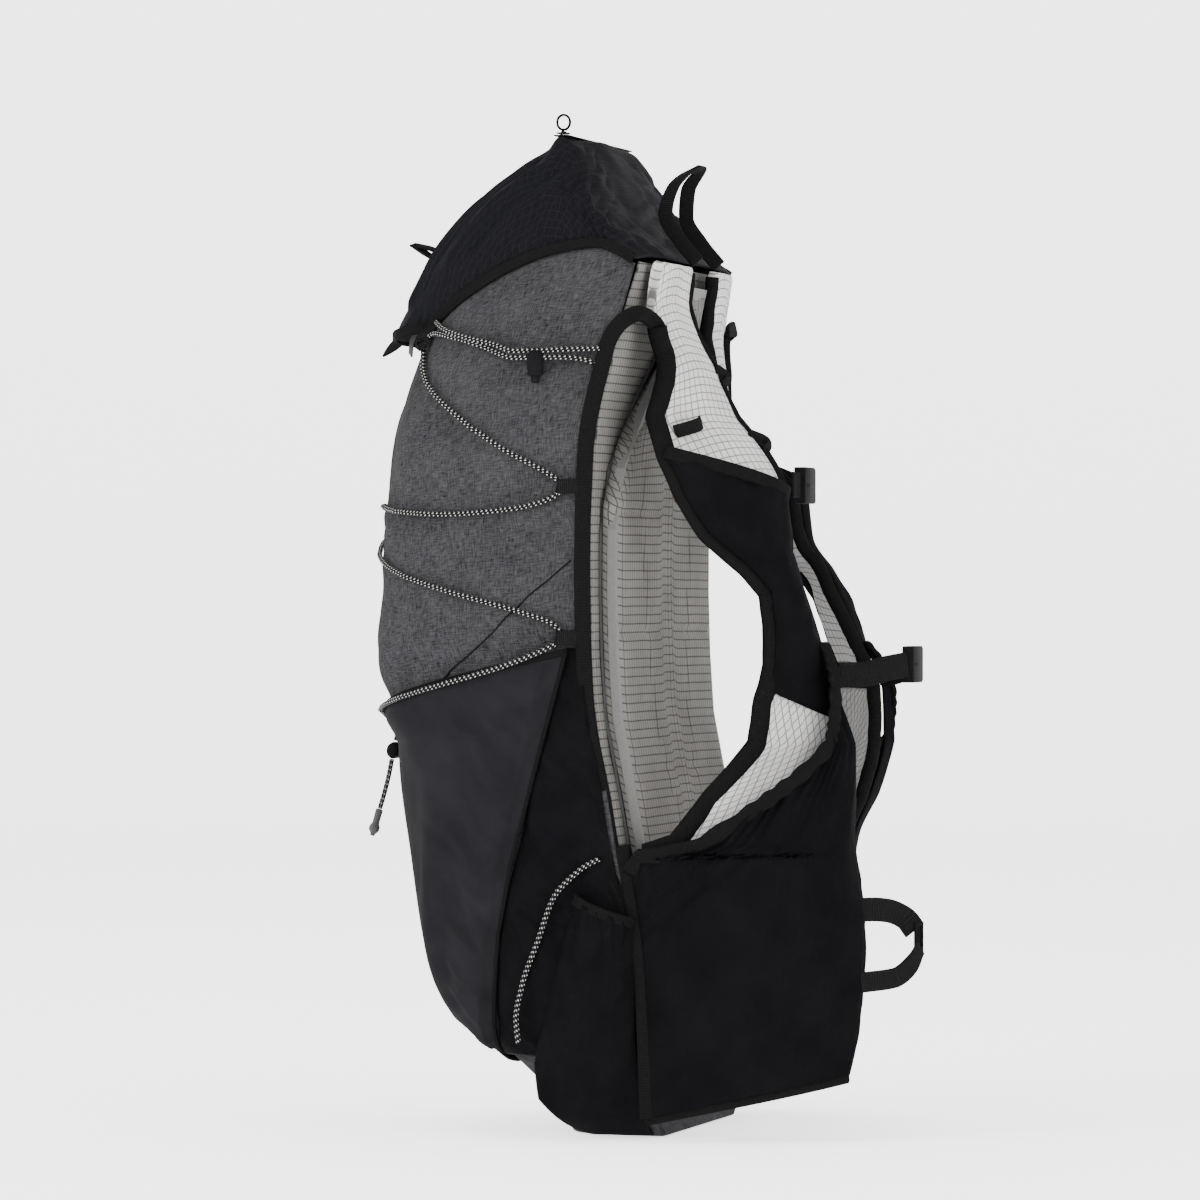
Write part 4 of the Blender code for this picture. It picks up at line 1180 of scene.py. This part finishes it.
def vest(word, side):
    # The strap and wing pads below take a pale mesh colour, made paler still as painted light.
    turn, v, z, degrees = vest_grid(
        side, (60, 200), ARMHOLE, CHEST_EDGE,
        lambda t: STRAP_FOOT + SEAM + 0 * t, lambda t: STRAP_TOP + 0 * t,
    )
    points = stack(vest_point(side, degrees, z))
    push = 0.7 * ripple(degrees * 2.2, z, 71, 34, 2.0, 1.3) * fade(turn, 0.2)
    strap = panel(
        f"shoulder_strap_pad_{word}", points, PADDING, "mesh",
        (f"shoulder_strap_{word}",), push=push, edge=0.45,
    )

    turn, v, z, degrees = vest_grid(
        side, (110, 190), ARMHOLE, CHEST_EDGE, lambda t: 12 + 24 * t, lambda t: STRAP_FOOT + 0 * t
    )
    points = stack(vest_point(side, degrees, z))
    push = 0.9 * ripple(degrees * 2.2, z, 73, 44, 1.8, 1.0) * fade(turn, 0.15)
    wing = panel(
        f"side_wing_pad_{word}", points, PADDING, "mesh", (f"side_wing_{word}",),
        push=push, edge=0.45,
    )

    # Bindings round the armhole, down the chest edge and along the foot.
    z = np.concatenate([np.linspace(167, 180, 30), np.linspace(181, 474, 200)])
    route = np.stack([ARMHOLE(z), z], axis=-1)
    route[1:-1] = (route[:-2] + route[1:-1] + route[2:]) / 3
    degrees = route[:, 0] + 1.9
    path = stack(vest_point(side, degrees, z, -PADDING / 2 + 0.4))
    away = vest_out(side, degrees, z)
    path = path + away * (0.35 * ripple(z, 0 * z, 75, 12))[:, None]
    tape(f"armhole_binding_{word}", path, 12.0, 8.6, away, "binding")
    z = np.linspace(38, 508, 240)
    degrees = CHEST_EDGE(z) - 1.0
    path = stack(vest_point(side, degrees, z, -PADDING / 2 + 0.3))
    away = vest_out(side, degrees, z)
    path = path + away * (0.3 * ripple(z, 0 * z, 76, 11))[:, None]
    tape(f"chest_binding_{word}", path, 8.0, 8.2, away, "binding")
    turn = np.linspace(0.0, 1.0, 120)
    z = 14 + 24 * turn
    degrees = turn * CHEST_EDGE(z)
    path = stack(vest_point(side, degrees, z, -PADDING / 2 + 0.3))
    tape(f"wing_foot_binding_{word}", path, 9.0, 8.4, vest_out(side, degrees, z), "binding")
    z = np.linspace(14, 172, 90)
    path = stack(vest_point(side, 0.7 + 0 * z, z, 1.2))
    tape(f"wing_root_binding_{word}", path, 9.0, 4.4, (0.1, side, 0), "binding")

    # Stretch pocket on the strap.
    turn, v, z, degrees = vest_grid(
        side, (70, 100), lambda z: ARMHOLE(z) + 1.5, lambda z: CHEST_EDGE(z) - 1.5,
        lambda t: 262 - 20 * t, lambda t: 400 - 24 * t,
    )
    out = 1.5 + 11 * power(np.sin(math.pi * turn), 0.6) * ramp(z - 268, 46) ** 0.7
    points = stack(vest_point(side, degrees, z, out))
    inside = fade(turn, 0.15) * ramp(v, 0.08)
    spot = degrees * 2.2
    folds = 1.3 * ripple(spot, z, 81, 30, 2.8, 1.4) + 0.5 * ripple(spot, z, 82, 12, 3.0, 1.1)
    panel(
        f"strap_pocket_cloth_{word}", points, 1.2, "stretch_painted_shade",
        (f"strap_pocket_{word}",), push=inside * folds,
    )
    hem = points[-1]
    away = vest_out(side, degrees[-1], z[-1])
    tape(f"strap_pocket_hem_{word}", hem + away * 0.3, 8.0, 2.6, away, "binding")

    # Stretch pocket over the wing, gathered at its sloping mouth.
    turn, v, z, degrees = vest_grid(
        side, (150, 150),
        lambda z: np.where(z > 166, ARMHOLE(z) + 3, 1.5), lambda z: CHEST_EDGE(z) - 1.5,
        lambda t: 15 + 24 * t, lambda t: 156 + 132 * t ** 0.9,
    )
    out = 2.8 + 11 * power(np.sin(math.pi * turn), 0.6) * power(np.sin(math.pi * np.minimum(v, 0.5)), 0.7)
    points = stack(vest_point(side, degrees, z, out))
    inside = fade(turn, 0.12) * ramp(v, 0.06)
    spot = degrees * 2.2
    folds = 1.7 * ripple(spot, z, 85, 42, 2.6, 1.5) + 0.7 * ripple(spot, z, 86, 15, 3.0, 1.2)
    mouth = np.exp(-(((1 - v) / 0.16) ** 2))
    gather = 1.3 * np.sin(turn * 95 + 1.8 * np.sin(turn * 21)) * mouth
    panel(
        f"wing_pocket_cloth_{word}", points, 1.2, "stretch_painted_shade",
        (f"wing_pocket_{word}",), push=inside * (folds + gather),
    )
    hem = points[-1]
    away = vest_out(side, degrees[-1], z[-1])
    swell = 1 + 0.13 * np.sin(np.linspace(0, 95, len(hem)) + 1.8 * np.sin(np.linspace(0, 21, len(hem))))
    sweep(
        f"wing_pocket_hem_{word}", hem + away * 0.5, rounded(9.0, 3.4), away, "binding", scale=swell,
    )

    # Heather strip at the wing's lower front, and the small loops on the strap.
    turn, v, z, degrees = vest_grid(
        side, (40, 10), lambda z: CHEST_EDGE(z) * 0.52, lambda z: CHEST_EDGE(z) - 2.5,
        lambda t: 29.5 + 11.5 * t, lambda t: 35 + 12.5 * t,
    )
    panel(f"wing_foot_strip_{word}", stack(vest_point(side, degrees, z, 2.2)), 1.0, "heather")
    for level, height in (("upper", 446.0), ("lower", 407.0)):
        edge = float(CHEST_EDGE(height))
        at = np.linspace(0, 1, 24)
        bend = np.sin(math.pi * at)
        path = stack(vest_point(side, edge - 3.0 + 5.5 * bend, height - 5 + 10 * at, 1.0 + 1.5 * bend))
        tape(f"strap_nub_{level}_{word}", path, 6.0, 1.6, vest_out(side, edge, height), "webbing")
    at = np.linspace(0, 1, 30)
    degrees = spread(30.0, 44.0, at)
    path = stack(vest_point(side, degrees, 412.0 + 6 * at, 0.8 + 7.0 * np.sin(math.pi * at) ** 0.7))
    tape(f"hose_loop_{word}", path, 8.0, 1.4, vest_out(side, degrees, 412.0), "webbing")


# Fastenings ------------------------------------------------------------------------------------


def buckle(level, x, z):
    socket = [
        bar((1.4, 25.6, 21.6), (x + 2.75, -6, z), 0.6),
        bar((1.4, 25.6, 21.6), (x - 2.75, -6, z), 0.6),
        bar((4.6, 3.0, 20.6), (x, -17.2, z), 0.6),
    ]
    for way in (-1, 1):
        socket.append(bar((5.0, 11.0, 2.0), (x, -12.8, z + way * 9.8), 0.6))
        socket.append(bar((5.0, 4.6, 2.0), (x, 4.4, z + way * 9.8), 0.6))
        socket.append(bar((0.8, 14.0, 2.2), (x + way * 3.4, -6, z), 0.3))
    joined(f"{level}_socket_shell", socket, (f"{level}_buckle_socket",), "bag")
    tongue = [
        bar((2.6, 16.6, 3.4), (x, -0.8, z), 0.8),
        bar((3.4, 9.4, 20.8), (x, 12.3, z), 1.2),
    ]
    for way in (-1, 1):
        tongue.append(bar((2.6, 15.6, 2.5), (x, -0.6, z + way * 5.7), 0.7))
        tongue.append(bar((2.6, 4.6, 3.0), (x, -6.0, z + way * 6.0), 0.8))
        tongue.append(bar((4.0, 1.0, 18.0), (x, 11.2 + way * 2.4, z), 0.35))
    joined(f"{level}_tongue_prongs", tongue, (f"{level}_buckle_tongue",), f"{level}_tongue")


def chest_anchor(side, z):
    return [float(c) for c in vest_point(side, float(CHEST_EDGE(z)) + 1.5, z, 3.0)]


def strap_tape(name, route, width, thickness, count, node):
    path = along_route(route, count)
    runs = unit(np.gradient(path, axis=0))
    outward = np.cross(runs, np.array([0, 0, 1.0]))
    tape(name, path, width, thickness, outward, "webbing", (node,))


def sternum():
    x, z = 127.5, 382.0
    buckle("upper", x, z)
    rows = (
        ("upper", "right", [chest_anchor(RIGHT, z), (x, -32, z), (x, -19.6, z)], 1.6),
        ("upper", "left", [chest_anchor(LEFT, z), (x - 5, 30, z), (x - 3, 18, z), (x - 3, 8.5, z)], 1.3),
    )
    x, z = 193.0, 276.0
    buckle("lower", x, z)
    low = z - 6
    rows += (
        ("lower", "right", [
            chest_anchor(RIGHT, low), (x - 25, -39, low), (x - 9, -30, z - 2), (x, -19.6, z),
        ], 1.6),
        ("lower", "left", [
            chest_anchor(LEFT, low), (x - 25, 39, low), (x - 9, 27, z - 2), (x - 3, 16, z), (x - 3, 8.5, z),
        ], 1.3),
    )
    for level, word, route, thickness in rows:
        strap_tape(
            f"{level}_sternum_tape_{word}", route, 15.0, thickness, 60,
            f"{level}_sternum_webbing_{word}",
        )


def waist(word, side):
    edge = float(CHEST_EDGE(130.0))

    def route(stops):
        return [[float(c) for c in vest_point(side, edge + turn, z, out)] for turn, z, out in stops]

    down = ((-8, 134, 3.4), (1.5, 134, 3.4), (6, 133, 3.8), (11, 128, 4.4), (12.6, 121, 5.5))
    back = ((12.8, 111, 6), (10, 104, 6), (3.5, 94, 3.4), (-6, 92, 3.4))
    strap_tape(f"waist_tape_{word}", route(down), 14.0, 1.6, 30, f"waist_strap_{word}")
    strap_tape(f"waist_return_{word}", route(back), 12.0, 1.6, 30, f"waist_webbing_{word}")
    here = Vector([float(c) for c in vest_point(side, edge + 13, 116.0, 6.0)])
    run = Vector([float(c) for c in vest_point(side, edge + 17, 116.0, 6.0)]) - here
    matrix = Matrix.Translation(here * MM) @ Matrix.Rotation(math.atan2(run.y, run.x), 4, "Z")
    frame_bars = [bar((7.0, 2.8, 2.2), (0, 0, way * 8.9), 0.8) for way in (-1, 1)]
    frame_bars += [bar((1.7, 2.6, 18.0), (place, 0, 0), 0.7) for place in (-2.6, 2.6)]
    frame_bars.append(bar((1.5, 2.0, 18.0), (0, 0.2, 0), 0.6))
    joined(
        f"ladder_frame_{word}", frame_bars, (f"ladder_lock_{word}",),
        f"ladder_{word}", matrix,
    )


def main():
    studio()
    MATERIALS.update({
        "heather": heather_cloth(),
        "stretch": stretch_cloth(
            "stretch_cloth", (0.005, 0.005, 0.006), (0.0145, 0.014, 0.016), 0.7, 0.008
        ),
        # The second copy is the same black stretch as the first, made darker as painted shade on the
        # flanks, bottle pockets and vest pockets.
        "stretch_painted_shade": stretch_cloth(
            "stretch_cloth_painted_shade", (0.002, 0.002, 0.0024), (0.005, 0.005, 0.006), 0.72, 0.006
        ),
        "nylon": ripstop_cloth(),
        # One pale mesh in two copies: the strap and wing copy is made paler still as painted light, and the
        # copy on the back pad and rear wall is made much darker as painted shade.
        "mesh": grid_mesh("strap_mesh_painted_light", (0.60, 0.59, 0.575), (0.10, 0.098, 0.095)),
        "back_mesh": grid_mesh("back_panel_mesh_painted_shade", (0.17, 0.163, 0.152), (0.028, 0.027, 0.026)),
        "webbing": woven_tape("woven_webbing", (0.003, 0.003, 0.003), (0.013, 0.0125, 0.0125)),
        "binding": woven_tape("binding_tape", (0.0025, 0.0025, 0.0025), (0.009, 0.0088, 0.0088), 0.9, 0.18),
        "grey_tape": woven_tape("grey_tape", (0.03, 0.029, 0.03), (0.10, 0.095, 0.095), 1.0, 0.2),
        "cord": shock_cord(),
        "plastic": moulded_plastic(),
    })
    lace_tail()
    bag()
    front_pocket()
    lid()
    laces()
    locks()
    sternum()
    for word, side in SIDES.items():
        side_seam(word, side)
        flank(word, side)
        bottle_pocket(word, side)
        ski_cord(word, side)
        vest(word, side)
        waist(word, side)

    inner = {
        "framesheet": grained(
            "frame_sheet_plastic", (0.020, 0.020, 0.021), (0.035, 0.035, 0.036), 90.0, 0.5
        ),
        "frame_stay": brushed_metal(),
        "back_foam": grained("closed_cell_foam", (0.09, 0.087, 0.084), (0.13, 0.127, 0.124), 700.0, 0.95),
    }
    for node, material in inner.items():
        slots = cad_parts[node].data.materials
        for i in range(len(slots)):
            slots[i] = material


main()
